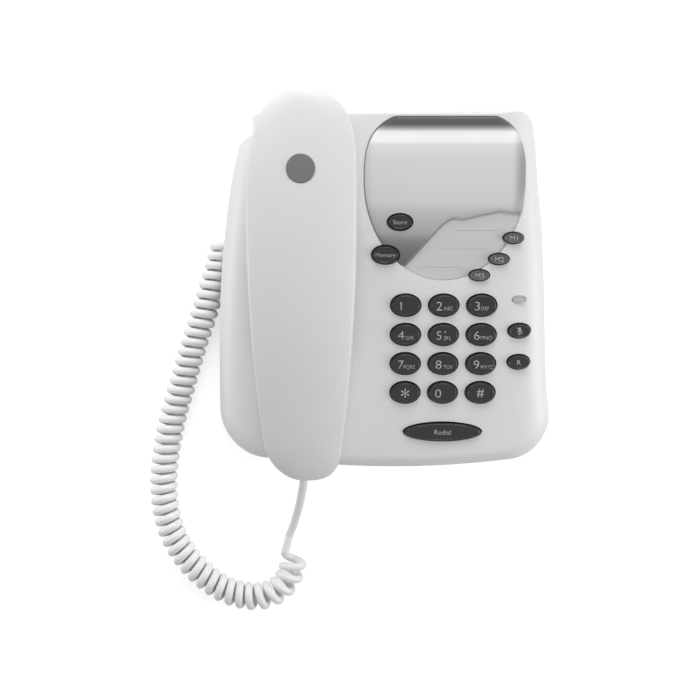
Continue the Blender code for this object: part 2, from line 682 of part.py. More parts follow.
def make_keys(face):
    """Hard keys with a flange under the housing, an upright side and a soft top edge."""
    foot, flange_top, crown = key_levels()
    for name, (x, v, half_x, half_v, sides) in key_plan().items():
        edge = 0.25 * half_v
        rings = []
        for grow, height in ((KEY_FLANGE, foot), (KEY_FLANGE, flange_top), (0.0, flange_top),
                             (0.0, crown - 0.0009), (-edge, crown)):
            outline = oval(0.0, 0.0, half_x + grow, half_v + grow, sides)
            rings.append([(px, pv, height) for px, pv in outline])
        key = loft("key_" + name, rings, face)
        key.location = (x, v, 0.0)
        finish(key, "key_plastic", KEY_GREY, 0.35)


def sheet_outline(x, v, corner):
    """A rectangle between two widths and two lengths, its right corners cut to clear the rounded shoulder."""
    back_x, back_v = 0.4 * corner[0], 0.4 * corner[1]
    return ((x[0], v[0]), (x[1] - corner[0], v[0]), (x[1], v[0] + corner[1]),
            (x[1], v[1] - back_v), (x[1] - back_x, v[1]), (x[0], v[1]))


def make_membrane(face):
    """Rubber sheet with a dome under each key."""
    foot = key_levels()[0]
    low = board_levels()[1] + SEAT_GAP
    keys = key_plan()
    across = [plan[0] for plan in keys.values()]
    along = [plan[1] for plan in keys.values()]
    outline = sheet_outline((min(across) - MEMBRANE_EDGE, max(across) + MEMBRANE_EDGE),
                            (min(along) - MEMBRANE_EDGE, max(along) + MEMBRANE_EDGE), MEMBRANE_CORNER)
    sheet = prism("keypad_membrane", outline, low, low + MEMBRANE_THICKNESS, face)
    for name, (x, v, _, _, _) in keys.items():
        base, tip = 0.0026, 0.0018
        rings = [[(px, pv, height) for px, pv in oval(x, v, radius, radius, 6)]
                 for radius, height in ((base, low + 0.5 * MEMBRANE_THICKNESS), (tip, foot - SEAT_GAP))]
        join(sheet, loft("dome_" + name, rings, face))
    finish(sheet, "rubber", RUBBER, 0.8)


def make_board(face):
    """Main circuit board, held by the posts under the top housing."""
    low, top = board_levels()
    board = prism("main_circuit_board", sheet_outline(BOARD_X, BOARD_V, BOARD_CORNER), low, top, face)
    finish(board, "circuit_board", BOARD_GREEN, 0.5)


def make_lamp(face):
    """Lens in the face, and the lamp that stands on the board below it."""
    lens_low = -FACE_WALL
    lens = layers("lamp_lens", oval(*LENS_AT, *LENS_SIZE, 16),
                  ((lens_low, 1.0), (0.4 * LENS_PROUD, 1.0), (LENS_PROUD, 0.7)), face)
    finish(lens, "clear", CLEAR, 0.1)
    top = lens_low - SEAT_GAP
    membrane_top = board_levels()[1] + SEAT_GAP + MEMBRANE_THICKNESS
    lamp = layers("lamp", oval(*LENS_AT, LAMP_RADIUS, LAMP_RADIUS, 10),
                  ((max(top - LAMP_HEIGHT, membrane_top + SEAT_GAP), 1.0), (top - 0.4 * LAMP_RADIUS, 1.0),
                    (top, 0.6)), face)
    finish(lamp, "clear", CLEAR, 0.1)


# ------------------------------------------------------------------ hook

def hook_levels():
    """Heights in the face frame at rest: plunger top, flange top, flange foot, switch top, switch foot."""
    top = -WELL_DEPTH
    flange_top = top - WALL - HOOK_TRAVEL - SEAT_GAP
    flange_foot = flange_top - HOOK_FLANGE
    switch_top = flange_foot - HOOK_SPRING_LENGTH
    return top, flange_top, flange_foot, switch_top - HOOK_SWITCH_SIZE[2], switch_top


def make_hook(face):
    """Plunger that the handset holds down, its return spring, and the switch that it works."""
    top, flange_top, flange_foot, switch_foot, switch_top = hook_levels()
    rings = []
    for radius, height in ((0.5 * HOOK_RADIUS, flange_foot - 0.7 * HOOK_SPRING_LENGTH),
                           (0.5 * HOOK_RADIUS, flange_foot),
                           (HOOK_FLANGE_RADIUS, flange_foot), (HOOK_FLANGE_RADIUS, flange_top),
                           (HOOK_RADIUS, flange_top), (HOOK_RADIUS, top - 0.0006), (0.8 * HOOK_RADIUS, top)):
        rings.append([(x, v, height) for x, v in oval(0.0, 0.0, radius, radius, 14)])
    plunger = loft("hook_plunger", rings, face)
    plunger.location = (HANDSET_X, HOOK_V, 0.0)
    finish(plunger, "key_plastic", KEY_GREY, 0.35)
    half_x, half_v = 0.5 * HOOK_SWITCH_SIZE[0], 0.5 * HOOK_SWITCH_SIZE[1]
    switch = box("hook_switch", (HANDSET_X - half_x, HOOK_V - half_v, switch_foot),
                 (HANDSET_X + half_x, HOOK_V + half_v, switch_top), face)
    finish(switch, "black_plastic", BLACK, 0.5)
    low = switch_top + SEAT_GAP + 0.5 * HOOK_SPRING_WIRE
    high = flange_foot - SEAT_GAP - 0.5 * HOOK_SPRING_WIRE
    steps = 6 * HOOK_SPRING_TURNS
    points = []
    for i in range(steps + 1):
        angle = math.tau * HOOK_SPRING_TURNS * i / steps
        points.append((HANDSET_X + HOOK_SPRING_RADIUS * math.cos(angle),
                       HOOK_V + HOOK_SPRING_RADIUS * math.sin(angle), low + (high - low) * i / steps))
    spring = tube("hook_spring", points, HOOK_SPRING_WIRE, 0)
    spring.parent = face
    finish(spring, "steel", STEEL, 0.3, 1.0)


# ------------------------------------------------------------------ back wall and inside

def make_line_jack():
    """Line inlet in the back wall: a body behind it and a nose that fills the hole."""
    width, _, depth = LINE_JACK_OPENING
    half = 0.5 * width + LINE_JACK_NOSE
    inner = BACK_Y - WALL - SEAT_GAP
    low, high = line_jack_z_range(LINE_JACK_NOSE)
    jack = box("line_jack", (LINE_JACK_X - half, inner - 0.002, low),
               (LINE_JACK_X + half, BACK_Y - SEAT_GAP, high))
    more = LINE_JACK_NOSE + LINE_JACK_BODY
    body_low, body_high = line_jack_z_range(more)
    join(jack, box("line_jack_body", (LINE_JACK_X - 0.5 * width - more, inner - depth, body_low),
                   (LINE_JACK_X + 0.5 * width + more, inner, body_high)))
    pocket_low, pocket_high = line_jack_z_range(0.0)
    cut(jack, box("line_jack_pocket", (LINE_JACK_X - 0.5 * width, BACK_Y - depth, pocket_low),
                  (LINE_JACK_X + 0.5 * width, BACK_Y + WALL, pocket_high)))
    finish(jack, "black_plastic", BLACK, 0.5)


def make_sliders():
    """Two slide switches: a knob through a slot in the back wall, with a plate behind the wall."""
    for name, x in SLIDER_X.items():
        half_x, half_z = 0.5 * SLIDER_KNOB[0], 0.5 * SLIDER_KNOB[1]
        inner = BACK_Y - WALL - SEAT_GAP
        knob = box(name, (x - half_x, inner - 0.5 * SLIDER_PLATE, SLIDER_Z - half_z),
                   (x + half_x, BACK_Y + SLIDER_PROUD, SLIDER_Z + half_z))
        reach = SLIDER_TRAVEL + 2 * SLIDE_GAP
        join(knob, box(name + "_plate", (x - half_x - reach, inner - SLIDER_PLATE, SLIDER_Z - 2 * half_z),
                       (x + half_x + reach, inner, SLIDER_Z + 2 * half_z)))
        finish(knob, "black_plastic", BLACK, 0.5)


def make_inside():
    """Ringer sounder and steel weight on the floor."""
    floor_z = FOOT_HEIGHT + FLOOR + SEAT_GAP
    sounder = layers("ringer_sounder", oval(*SOUNDER_AT, SOUNDER_RADIUS, SOUNDER_RADIUS, 20),
                     ((floor_z, 1.0), (floor_z + 0.7 * SOUNDER_HEIGHT, 1.0), (floor_z + SOUNDER_HEIGHT, 0.8)))
    finish(sounder, "black_plastic", BLACK, 0.5)
    half_x, half_y = 0.5 * WEIGHT_SIZE[0], 0.5 * WEIGHT_SIZE[1]
    weight = box("base_weight", (WEIGHT_CENTRE[0] - half_x, WEIGHT_CENTRE[1] - half_y, floor_z),
                 (WEIGHT_CENTRE[0] + half_x, WEIGHT_CENTRE[1] + half_y, floor_z + WEIGHT_SIZE[2]))
    finish(weight, "steel", STEEL, 0.3, 1.0)


# ------------------------------------------------------------------ handset

def handset_half_width(v, side):
    """Width of the handset's plan at v to the right (side 1) or to the left (side -1) of its axis."""
    share = max(0.0, (WIDEST_V - v) / (WIDEST_V - MOUTH_END_V))
    half = EAR_HALF_WIDTH - (EAR_HALF_WIDTH - MOUTH_HALF_WIDTH) * share ** 2
    ear_start = EAR_END_RIGHT_V if side > 0 else EAR_END_LEFT_V
    mouth_squareness = MOUTH_END_RIGHT_SQUARENESS if side > 0 else MOUTH_END_LEFT_SQUARENESS
    for start, end, squareness in ((ear_start, HANDSET_BACK_V, EAR_END_SQUARENESS),
                                   (MOUTH_END_V, HANDSET_FRONT_V, mouth_squareness)):
        past = (v - start) / (end - start)
        if past > 0:
            half *= max(0.0, 1 - min(1.0, past) ** squareness) ** (1 / squareness)
    return half


def handset_lean(v):
    """How far the ear end leans back over its height, so that it stands upright from the table."""
    return math.tan(FACE_SLOPE) * ease((v - EAR_LEAN_V) / (HANDSET_BACK_V - EAR_LEAN_V))


def handset_low(v):
    """Height of the underside: close over the face at the ends, arched for the fingers in the middle."""
    return UNDERSIDE + (GRIP_LIFT - UNDERSIDE) * ease((GRIP_END_V - abs(v)) / (GRIP_END_V - GRIP_FLAT_V))


def handset_rim(v):
    """Height of the handset's top edge."""
    return RIM_MIDDLE - (RIM_MIDDLE - RIM_END) * (v / HANDSET_BACK_V) ** 2


def handset_split(v):
    """Height of the parting line between the two shells."""
    low = handset_low(v)
    return low + SPLIT_SHARE * (handset_rim(v) - low)


def handset_crown(v):
    return handset_rim(v) + DOME * handset_half_width(v, -1) / EAR_HALF_WIDTH


def handset_section(v, wall):
    """Cross-section at v, less the wall's thickness: upright sides, rounded edges and a shallow dome."""
    low, rim = handset_low(v) + wall, handset_rim(v) - wall
    dome = handset_crown(v) - handset_rim(v)
    split = max(low + 0.0005, handset_split(v))
    lean = handset_lean(v)

    def side(direction):
        half = max(0.0006, handset_half_width(v, direction) - wall)
        scale = min(1.0, half / 0.012)
        edge = EDGE_ROUND * scale
        profile = ((half - 0.0060 * scale, low), (half - 0.0016 * scale, min(low + 0.0022, split)),
                   (half, split), (half, rim - edge), (half - 0.3 * edge, rim - 0.3 * edge), (half - edge, rim),
                   (0.72 * half, rim + 0.48 * dome), (0.38 * half, rim + 0.86 * dome))
        return [(HANDSET_X + direction * x, v + lean * w, w) for x, w in profile]

    crown, middle = rim + dome, (HANDSET_X, v + lean * low, low)
    return [*side(1), (HANDSET_X, v + lean * crown, crown), *reversed(side(-1)), middle]


def handset_stations(wall, steps, shares):
    """Places along the handset where its section is drawn, closer together round its two ends."""
    back, front = HANDSET_BACK_V - wall, HANDSET_FRONT_V + wall
    back_span, front_span = back - EAR_END_RIGHT_V, front - MOUTH_END_V
    stations = [front - front_span * (1 - math.sin(0.5 * math.pi * share)) for share in reversed(shares)]
    stations += [MOUTH_END_V + (EAR_END_RIGHT_V - MOUTH_END_V) * i / steps for i in range(steps + 1)]
    stations += [back - back_span * (1 - math.sin(0.5 * math.pi * share)) for share in shares]
    return stations


def handset_solid(name, face):
    stations = handset_stations(0.0, 12, (0.30, 0.54, 0.73, 0.87, 0.96, 0.99))
    return loft(name, [handset_section(v, 0.0) for v in stations], face)


def handset_hollow(name, face):
    stations = handset_stations(HANDSET_WALL, 8, (0.50, 0.85, 0.99))
    return loft(name, [handset_section(v, HANDSET_WALL) for v in stations], face)


def cap(name, half_x, half_v, centre_v, wall, face):
    """A round cap under the handset, reaching into its cradle well."""
    foot = -WELL_DEPTH + SEAT_GAP + wall
    outline = oval(HANDSET_X, centre_v, half_x - wall, half_v - wall, 24, CAP_SQUARENESS)
    top = UNDERSIDE + (2.0 if wall else 0.8) * HANDSET_WALL
    return layers(name, outline, ((foot, 0.93), (foot + CAP_ROUND, 1.0), (top, 1.0)), face)


def split_cutter(name, side, face):
    """All that lies above (side 1) or below (side -1) the parting line."""
    span = 1.2 * HANDSET_BACK_V
    steps = 24
    line = [-span + 2 * span * i / steps for i in range(steps + 1)]
    far = side * 0.08
    points = []
    for x in (HANDSET_X - 0.06, HANDSET_X + 0.06):
        points += [(x, v, handset_split(v) - 0.5 * side * SEAT_GAP) for v in line]
        points += [(x, v, far) for v in reversed(line)]
    count = 2 * len(line)
    faces = [tuple(range(count)), tuple(range(count, 2 * count))]
    faces += [(i, (i + 1) % count, count + (i + 1) % count, count + i) for i in range(count)]
    return mesh_object(name, points, faces, face)


def badge_frame(face):
    """An empty on the handset's crown, square to it, where the badge sits."""
    step = 0.001
    tilt = math.atan2(handset_crown(BADGE_V + step) - handset_crown(BADGE_V - step), 2 * step)
    place = bpy.data.objects.new("badge_place", None)
    bpy.context.scene.collection.objects.link(place)
    place.parent = face
    place.location = (HANDSET_X, BADGE_V, handset_crown(BADGE_V))
    place.rotation_euler = (tilt, 0.0, 0.0)
    return place


def make_shell(name, side, face, badge_place):
    """One of the two handset shells: side 1 is the outer one, -1 the one with the ear and mouth caps."""
    shell = handset_solid(name, face)
    hollow = handset_hollow(name + "_hollow", face)
    for cap_name, half_x, half_v, centre_v in (("ear", EAR_CAP_X, EAR_CAP_V, EAR_V),
                                               ("mouth", MOUTH_CAP_X, MOUTH_CAP_V, MOUTH_V)):
        if side < 0:
            join(shell, cap(name + "_cap_" + cap_name, half_x, half_v, centre_v, 0.0, face))
        join(hollow, cap(name + "_cap_room_" + cap_name, half_x, half_v, centre_v, HANDSET_WALL, face))
    for i, v in enumerate(HANDSET_SCREW_V):
        cut(hollow, drum("%s_boss_%d" % (name, i), HANDSET_X, v, BOSS_RADIUS, -0.02, 0.05, 12, face))
    cut(shell, handset_plug_box(name + "_plug_hole", PLUG_FIT, HANDSET_FRONT_V - 0.01,
                                HANDSET_FRONT_V + HANDSET_PLUG_IN + HANDSET_WALL, face))
    cut(shell, hollow)
    cut(shell, split_cutter(name + "_split", -side, face))
    for i, v in enumerate(HANDSET_SCREW_V):
        head = handset_screw_head(v)
        cut(shell, drum("%s_pilot_%d" % (name, i), HANDSET_X, v, SCREW_RADIUS + SEAT_GAP, -0.02,
                        head + SCREW_LENGTH + SEAT_GAP, 10, face))
        if side < 0:
            cut(shell, drum("%s_counterbore_%d" % (name, i), HANDSET_X, v, SCREW_HEAD_RADIUS + SEAT_GAP,
                            -0.02, head + SCREW_HEAD + SEAT_GAP, 12, face))
    if side > 0:
        cut(shell, drum("badge_recess", 0.0, 0.0, BADGE_RADIUS + SEAT_GAP,
                        BADGE_PROUD - BADGE_THICKNESS - SEAT_GAP, 0.01, 24, badge_place))
    else:
        for i in range(3):
            v = EAR_V + (i - 1) * 0.005
            cut(shell, prism("ear_slot_%d" % i, oval(HANDSET_X, v, 0.007, 0.001, 8), -0.02, 0.0, face))
        cut(shell, prism("mouth_slot", oval(HANDSET_X, MOUTH_V, 0.0035, 0.001, 8), -0.02, 0.0, face))
    finish(shell, "white_plastic", WHITE, 0.38)


def handset_screw_head(v):
    """Height of a handset screw's head, sunk into the grip's underside."""
    return handset_low(v) + 0.0010


def make_handset(face):
    """Two shells with badge, speaker, microphone, weight, jack and screws."""
    badge_place = badge_frame(face)
    make_shell("handset_outer_shell", 1, face, badge_place)
    make_shell("handset_inner_shell", -1, face, badge_place)
    badge = layers("handset_badge", oval(0.0, 0.0, BADGE_RADIUS, BADGE_RADIUS, 24),
                   ((BADGE_PROUD - BADGE_THICKNESS, 1.0), (0.5 * BADGE_PROUD, 1.0), (BADGE_PROUD, 0.95)),
                   badge_place)
    finish(badge, "badge", BADGE_GREY, 0.3, 0.6)
    seat = -WELL_DEPTH + SEAT_GAP + HANDSET_WALL + SEAT_GAP
    speaker = layers("ear_speaker", oval(HANDSET_X, EAR_V, SPEAKER_RADIUS, SPEAKER_RADIUS, 20),
                     ((seat, 1.0), (seat + 0.6 * SPEAKER_HEIGHT, 1.0), (seat + SPEAKER_HEIGHT, 0.7)), face)
    finish(speaker, "black_plastic", BLACK, 0.5)
    microphone = drum("microphone", HANDSET_X, MOUTH_V, MICROPHONE_RADIUS, seat, seat + MICROPHONE_HEIGHT,
                      14, face)
    finish(microphone, "steel", STEEL, 0.3, 1.0)
    low = GRIP_LIFT + HANDSET_WALL + SEAT_GAP
    half_x, half_v = 0.5 * HANDSET_WEIGHT_SIZE[0], 0.5 * HANDSET_WEIGHT_SIZE[1]
    weight = box("handset_weight", (HANDSET_X - half_x, -half_v, low),
                 (HANDSET_X + half_x, half_v, low + HANDSET_WEIGHT_SIZE[2]), face)
    finish(weight, "steel", STEEL, 0.3, 1.0)
    for name, v in zip(("upper", "lower"), HANDSET_SCREW_V):
        screw("handset_screw_" + name, HANDSET_X, v, handset_screw_head(v), face)


# ------------------------------------------------------------------ jacks, plugs and cord

def coil_radius():
    return 0.5 * (COIL_OUTER - WIRE)


def coil_height():
    return 0.5 * COIL_OUTER + COIL_REST


def cord_exit_z():
    """The cord leaves the base at the level of the top of its curls."""
    return coil_height() + coil_radius()


def cord_plug_box(name, margin, low_x, high_x):
    half_y, half_z = 0.5 * PLUG_WIDTH + margin, 0.5 * PLUG_HEIGHT + margin
    return box(name, (low_x, CORD_JACK_Y - half_y, cord_exit_z() - half_z),
               (high_x, CORD_JACK_Y + half_y, cord_exit_z() + half_z))


def handset_plug_box(name, margin, low_v, high_v, face):
    half_x, half_w = 0.5 * PLUG_WIDTH + margin, 0.5 * PLUG_HEIGHT + margin
    return box(name, (HANDSET_X - half_x, low_v, HANDSET_PLUG_W - half_w),
               (HANDSET_X + half_x, high_v, HANDSET_PLUG_W + half_w), face)


def make_jacks_and_plugs(face):
    """A modular jack and plug at each end of the cord."""
    wall_x = -HALF_WIDTH + NICHE_DEPTH_X
    jack_front = wall_x + WALL + SEAT_GAP
    plug_end = wall_x - PLUG_PROUD + PLUG_LENGTH
    base_jack = cord_plug_box("base_cord_jack", PLUG_FIT + JACK_WALL, jack_front,
                              plug_end + SEAT_GAP + JACK_WALL)
    cut(base_jack, cord_plug_box("base_jack_pocket", PLUG_FIT, wall_x, plug_end + SEAT_GAP))
    finish(base_jack, "black_plastic", BLACK, 0.5)
    base_plug = cord_plug_box("base_cord_plug", 0.0, wall_x - PLUG_PROUD, plug_end)
    finish(base_plug, "clear", CLEAR, 0.1)
    plug_low = HANDSET_FRONT_V + HANDSET_PLUG_IN
    plug_high = plug_low + PLUG_LENGTH
    jack_low = plug_low + HANDSET_WALL
    jack = handset_plug_box("handset_cord_jack", PLUG_FIT + 0.0009, jack_low,
                            plug_high + SEAT_GAP + JACK_WALL, face)
    cut(jack, handset_plug_box("handset_jack_pocket", PLUG_FIT, plug_low - JACK_WALL,
                               plug_high + SEAT_GAP, face))
    finish(jack, "black_plastic", BLACK, 0.5)
    plug = handset_plug_box("handset_cord_plug", 0.0, plug_low, plug_high, face)
    finish(plug, "clear", CLEAR, 0.1)


def tube(name, points, diameter, resolution):
    """A round tube along points, with closed ends."""
    curve = bpy.data.curves.new(name, "CURVE")
    curve.dimensions = "3D"
    curve.bevel_depth = 0.5 * diameter
    curve.bevel_resolution = resolution
    curve.use_fill_caps = True
    spline = curve.splines.new("POLY")
    spline.points.add(len(points) - 1)
    for spot, point in zip(spline.points, points):
        spot.co = (*point, 1.0)
    made = bpy.data.objects.new(name, curve)
    bpy.context.scene.collection.objects.link(made)
    return made


def coil_line():
    """The middle of the coil: closely spaced points with distance along it, direction and curvature."""
    points = smooth_curve(COIL_ROUTE, 24)
    rows, run = [], 0.0
    for i, point in enumerate(points):
        before, after = points[max(0, i - 1)], points[min(len(points) - 1, i + 1)]
        if i:
            run += (point - before).length
        rows.append([run, point, (after - before).normalized(), 0.0])
    for i in range(1, len(rows) - 1):
        turn = rows[i - 1][2].angle(rows[i + 1][2], 0.0)
        rows[i][3] = turn / (rows[i + 1][0] - rows[i - 1][0])
    return rows


def coil_points():
    """The wire: straight out of the plug, over the top into the curls, and straight again at the end."""
    rows = coil_line()
    radius, height = coil_radius(), coil_height()
    length = rows[-1][0]
    rates, total = [], 0.0
    for run, _, _, bend in rows:
        pitch = max(COIL_PITCH, COIL_LEAST_PITCH / (1 - min(0.5, bend * radius)))
        rates.append(math.tau / pitch * ease((length - COIL_STRAIGHT - run) / COIL_EASE))
    phases = [0.0]
    for i in range(1, len(rows)):
        total += 0.5 * (rates[i] + rates[i - 1]) * (rows[i][0] - rows[i - 1][0])
        phases.append(total)
    turns = round(total / math.tau - 0.75) + 0.75
    phases = [phase * turns * math.tau / total for phase in phases]

    def wire_at(phase, i, t):
        middle = rows[i][1].lerp(rows[i + 1][1], t)
        ahead = rows[i][2].lerp(rows[i + 1][2], t).normalized()
        angle = 0.5 * math.pi + phase
        out = radius * math.cos(angle)
        up = radius * math.sin(angle)
        return Vector((middle.x - ahead.y * out, middle.y + ahead.x * out, height + up))

    wire = []
    count = round(turns * COIL_POINTS_PER_TURN)
    i = 0
    for step in range(count):
        phase = math.tau * step / COIL_POINTS_PER_TURN
        while phases[i + 1] < phase:
            i += 1
        wire.append(wire_at(phase, i, (phase - phases[i]) / (phases[i + 1] - phases[i])))
    last_run = rows[i][0]
    tail_steps = 6
    for step in range(1, tail_steps + 1):
        run = last_run + (length - last_run) * step / tail_steps
        while i < len(rows) - 2 and rows[i + 1][0] < run:
            i += 1
        t = (run - rows[i][0]) / (rows[i + 1][0] - rows[i][0])
        wire.append(wire_at(phases[i] + (phases[i + 1] - phases[i]) * t, i, t))
    start_x = -HALF_WIDTH + NICHE_DEPTH_X - PLUG_PROUD - SEAT_GAP
    first, bend = wire[0], wire[1] - wire[0]
    lead = Vector((start_x, CORD_JACK_Y, cord_exit_z()))
    middle = Vector((0.5 * (start_x + first.x), CORD_JACK_Y, cord_exit_z()))
    return [lead, lead.lerp(middle, 0.5), middle, *wire], turns


def least_gap(points):
    """The smallest distance between two turns of the wire, less its thickness, measured on its points."""
    apart = COIL_POINTS_PER_TURN // 2 + 1
    least = min((a - b).length for i, a in enumerate(points) for b in points[i + apart:])
    return least - WIRE


def make_cord(face):
    """The curly length with its straight start, and the straight tail up to the handset."""
    curls, turns = coil_points()
    finish(tube("cord_curls", curls, WIRE, 1), "cord_plastic", CORD_WHITE, 0.45)
    length = sum((b - a).length for a, b in zip(curls, curls[1:]))
    gap = 1000 * least_gap(curls)
    print("curls %.2f, wire %.3f m, least gap between turns %.2f mm" % (turns, length, gap))
    ahead = (curls[-1] - curls[-2]).normalized()
    start = curls[-1] + ahead * SEAT_GAP
    slope = Vector((0.0, math.cos(FACE_SLOPE), math.sin(FACE_SLOPE)))
    normal = Vector((0.0, -math.sin(FACE_SLOPE), math.cos(FACE_SLOPE)))
    origin = Vector((HANDSET_X, 0.0, FACE_HEIGHT)) + normal * HANDSET_PLUG_W
    end = origin + slope * (HANDSET_FRONT_V + HANDSET_PLUG_IN - SEAT_GAP)
    route = [start, start + ahead * 0.5 * TAIL_LEAD, *(Vector(point) for point in TAIL_BENDS),
             end - slope * TAIL_LEAD, end]
    tail = smooth_curve(route, 3)
    finish(tube("cord_tail", tail, WIRE, 1), "cord_plastic", CORD_WHITE, 0.45)
    print("tail %.3f m" % sum((b - a).length for a, b in zip(tail, tail[1:])))


def main():
    clear_scene()
    face = bpy.data.objects.new("face_frame", None)
    bpy.context.scene.collection.objects.link(face)
    face.location = (0.0, 0.0, FACE_HEIGHT)
    face.rotation_euler = (FACE_SLOPE, 0.0, 0.0)
    make_top_housing(face)
    make_bottom_housing(face)
    make_feet()
    make_base_screws()
    make_panel(face)
    make_card_and_cover(face)
    make_keys(face)
    make_membrane(face)
    make_board(face)
    make_lamp(face)
    make_hook(face)
    make_line_jack()
    make_sliders()
    make_inside()
    make_handset(face)
    make_jacks_and_plugs(face)
    make_cord(face)


main()
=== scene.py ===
"""Looks of the corded desk telephone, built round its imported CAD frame."""

import math

import bmesh
import bpy
from mathutils import Matrix, Vector


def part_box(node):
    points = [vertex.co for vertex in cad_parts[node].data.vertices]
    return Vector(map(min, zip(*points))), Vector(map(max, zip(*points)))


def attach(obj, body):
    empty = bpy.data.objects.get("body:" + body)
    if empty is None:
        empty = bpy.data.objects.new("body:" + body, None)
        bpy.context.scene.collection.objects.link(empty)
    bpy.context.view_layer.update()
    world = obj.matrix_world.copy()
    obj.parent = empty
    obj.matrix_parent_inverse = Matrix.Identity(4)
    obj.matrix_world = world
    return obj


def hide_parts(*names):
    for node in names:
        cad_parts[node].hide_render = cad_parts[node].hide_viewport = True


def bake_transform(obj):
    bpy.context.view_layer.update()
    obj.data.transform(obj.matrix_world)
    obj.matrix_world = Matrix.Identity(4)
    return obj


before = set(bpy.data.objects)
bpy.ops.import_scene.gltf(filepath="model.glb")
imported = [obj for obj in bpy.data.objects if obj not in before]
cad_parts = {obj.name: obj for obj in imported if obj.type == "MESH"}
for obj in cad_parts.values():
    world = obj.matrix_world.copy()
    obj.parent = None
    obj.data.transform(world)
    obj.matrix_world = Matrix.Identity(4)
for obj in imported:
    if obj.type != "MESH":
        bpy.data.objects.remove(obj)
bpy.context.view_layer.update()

# The camera looks straight down on the telephone from 0.7 m, as a catalogue view does.
# Two wide soft lamps stand behind it and to its right, two small ones at its back left and left, and the
# room fills in the rest.
CAMERA_AT = (-0.0189, -0.0311, 0.700)
CAMERA_LENS = 36.0 * 1245 / 700
bpy.ops.object.select_all(action="DESELECT")
bpy.ops.object.camera_add(location=CAMERA_AT, rotation=(0, 0, 0))
camera = bpy.context.object
camera.data.lens = CAMERA_LENS
camera.data.sensor_width = 36.0
camera.data.clip_start = 0.01
bpy.context.scene.camera = camera
bpy.context.scene.view_settings.view_transform = "Standard"


def soft_lamp(name, place, aim, size, watts):
    """A square area lamp that looks at a point."""
    turn = (Vector(aim) - Vector(place)).to_track_quat("-Z", "Y").to_euler()
    bpy.ops.object.light_add(type="AREA", location=place, rotation=turn)
    lamp = bpy.context.object
    lamp.name = name
    lamp.data.shape = "SQUARE"
    lamp.data.size = size
    lamp.data.energy = watts


soft_lamp("lamp_back", (0.10, 0.82, 0.60), (0.0, 0.0, 0.03), 0.60, 5.0)
soft_lamp("lamp_back_left", (-0.26, 0.30, 0.24), (-0.04, 0.02, 0.03), 0.22, 0.40)
soft_lamp("lamp_left", (-0.62, -0.04, 0.15), (-0.05, 0.0, 0.03), 0.20, 0.68)
soft_lamp("lamp_right", (0.80, -0.20, 0.36), (0.0, 0.0, 0.03), 0.45, 3.0)

world = bpy.data.worlds.new("studio_room")
bpy.context.scene.world = world
world.use_nodes = True
nodes, links = world.node_tree.nodes, world.node_tree.links
nodes.clear()
rays = nodes.new("ShaderNodeLightPath")
seen = nodes.new("ShaderNodeMath")
seen.operation = "MAXIMUM"
links.new(rays.outputs["Is Camera Ray"], seen.inputs[0])
links.new(rays.outputs["Is Glossy Ray"], seen.inputs[1])
clear_seen = nodes.new("ShaderNodeMath")
clear_seen.operation = "MAXIMUM"
links.new(seen.outputs[0], clear_seen.inputs[0])
links.new(rays.outputs["Is Transmission Ray"], clear_seen.inputs[1])
level = nodes.new("ShaderNodeMapRange")
level.inputs["To Min"].default_value = 0.39
level.inputs["To Max"].default_value = 1.0
links.new(clear_seen.outputs[0], level.inputs["Value"])
room = nodes.new("ShaderNodeBackground")
room.inputs["Color"].default_value = (1, 1, 1, 1)
links.new(level.outputs["Result"], room.inputs["Strength"])
links.new(room.outputs[0], nodes.new("ShaderNodeOutputWorld").inputs["Surface"])

# The floor is a plain white table top. It shows as white to the camera and keeps a soft shadow.
bpy.ops.mesh.primitive_plane_add(size=8.0, location=(0, 0, -0.0002))
floor = bpy.context.object
floor.name = "table_top"
paint = bpy.data.materials.new("table_white")
paint.use_nodes = True
nodes, links = paint.node_tree.nodes, paint.node_tree.links
nodes.clear()
board = nodes.new("ShaderNodeBsdfDiffuse")
board.inputs["Color"].default_value = (0.88, 0.88, 0.88, 1)
glow = nodes.new("ShaderNodeEmission")
rays = nodes.new("ShaderNodeLightPath")
level = nodes.new("ShaderNodeMapRange")
level.inputs["To Max"].default_value = 0.55
links.new(rays.outputs["Is Camera Ray"], level.inputs["Value"])
links.new(level.outputs["Result"], glow.inputs["Strength"])
both = nodes.new("ShaderNodeAddShader")
links.new(board.outputs[0], both.inputs[0])
links.new(glow.outputs[0], both.inputs[1])
links.new(both.outputs[0], nodes.new("ShaderNodeOutputMaterial").inputs["Surface"])
floor.data.materials.append(paint)

# The handset cord is white vinyl over four flat wires: 46 curls of a 4.4 mm cord, wound on a mandrel and set
# by heat, with a short straight end at each plug. It leaves the left wall and lies on the table.
CORD_ROUND = 0.0044
CORD_SIDES = 14
COIL_RADIUS = 0.0055
COIL_CENTRE_Z = 0.0076
COIL_PITCH = 0.0056
COIL_LEAST_PITCH = 0.0049
COIL_STRAIGHT = 0.0055
COIL_EASE = 0.0060
COIL_STEPS = 22
COIL_ROUTE = (
    (-0.0892, 0.0262), (-0.0922, 0.0150), (-0.0962, 0.0015), (-0.1012, -0.0140), (-0.1060, -0.0285),
    (-0.1120, -0.0495), (-0.1172, -0.0675), (-0.1206, -0.0845), (-0.1223, -0.1020), (-0.1213, -0.1185),
    (-0.1170, -0.1335), (-0.1091, -0.1467), (-0.0986, -0.1573), (-0.0868, -0.1648), (-0.0740, -0.1680),
    (-0.0640, -0.1668), (-0.0562, -0.1618), (-0.0518, -0.1548), (-0.0500, -0.1465), (-0.0480, -0.1385),
)
TAIL_BENDS = ((-0.0500, -0.1275, 0.0112), (-0.0477, -0.1200, 0.0160), (-0.0458, -0.1125, 0.0212))
CORD_IN_PLUG = 0.0006
TAIL_START = 0.0033
TAIL_LEAD = 0.006
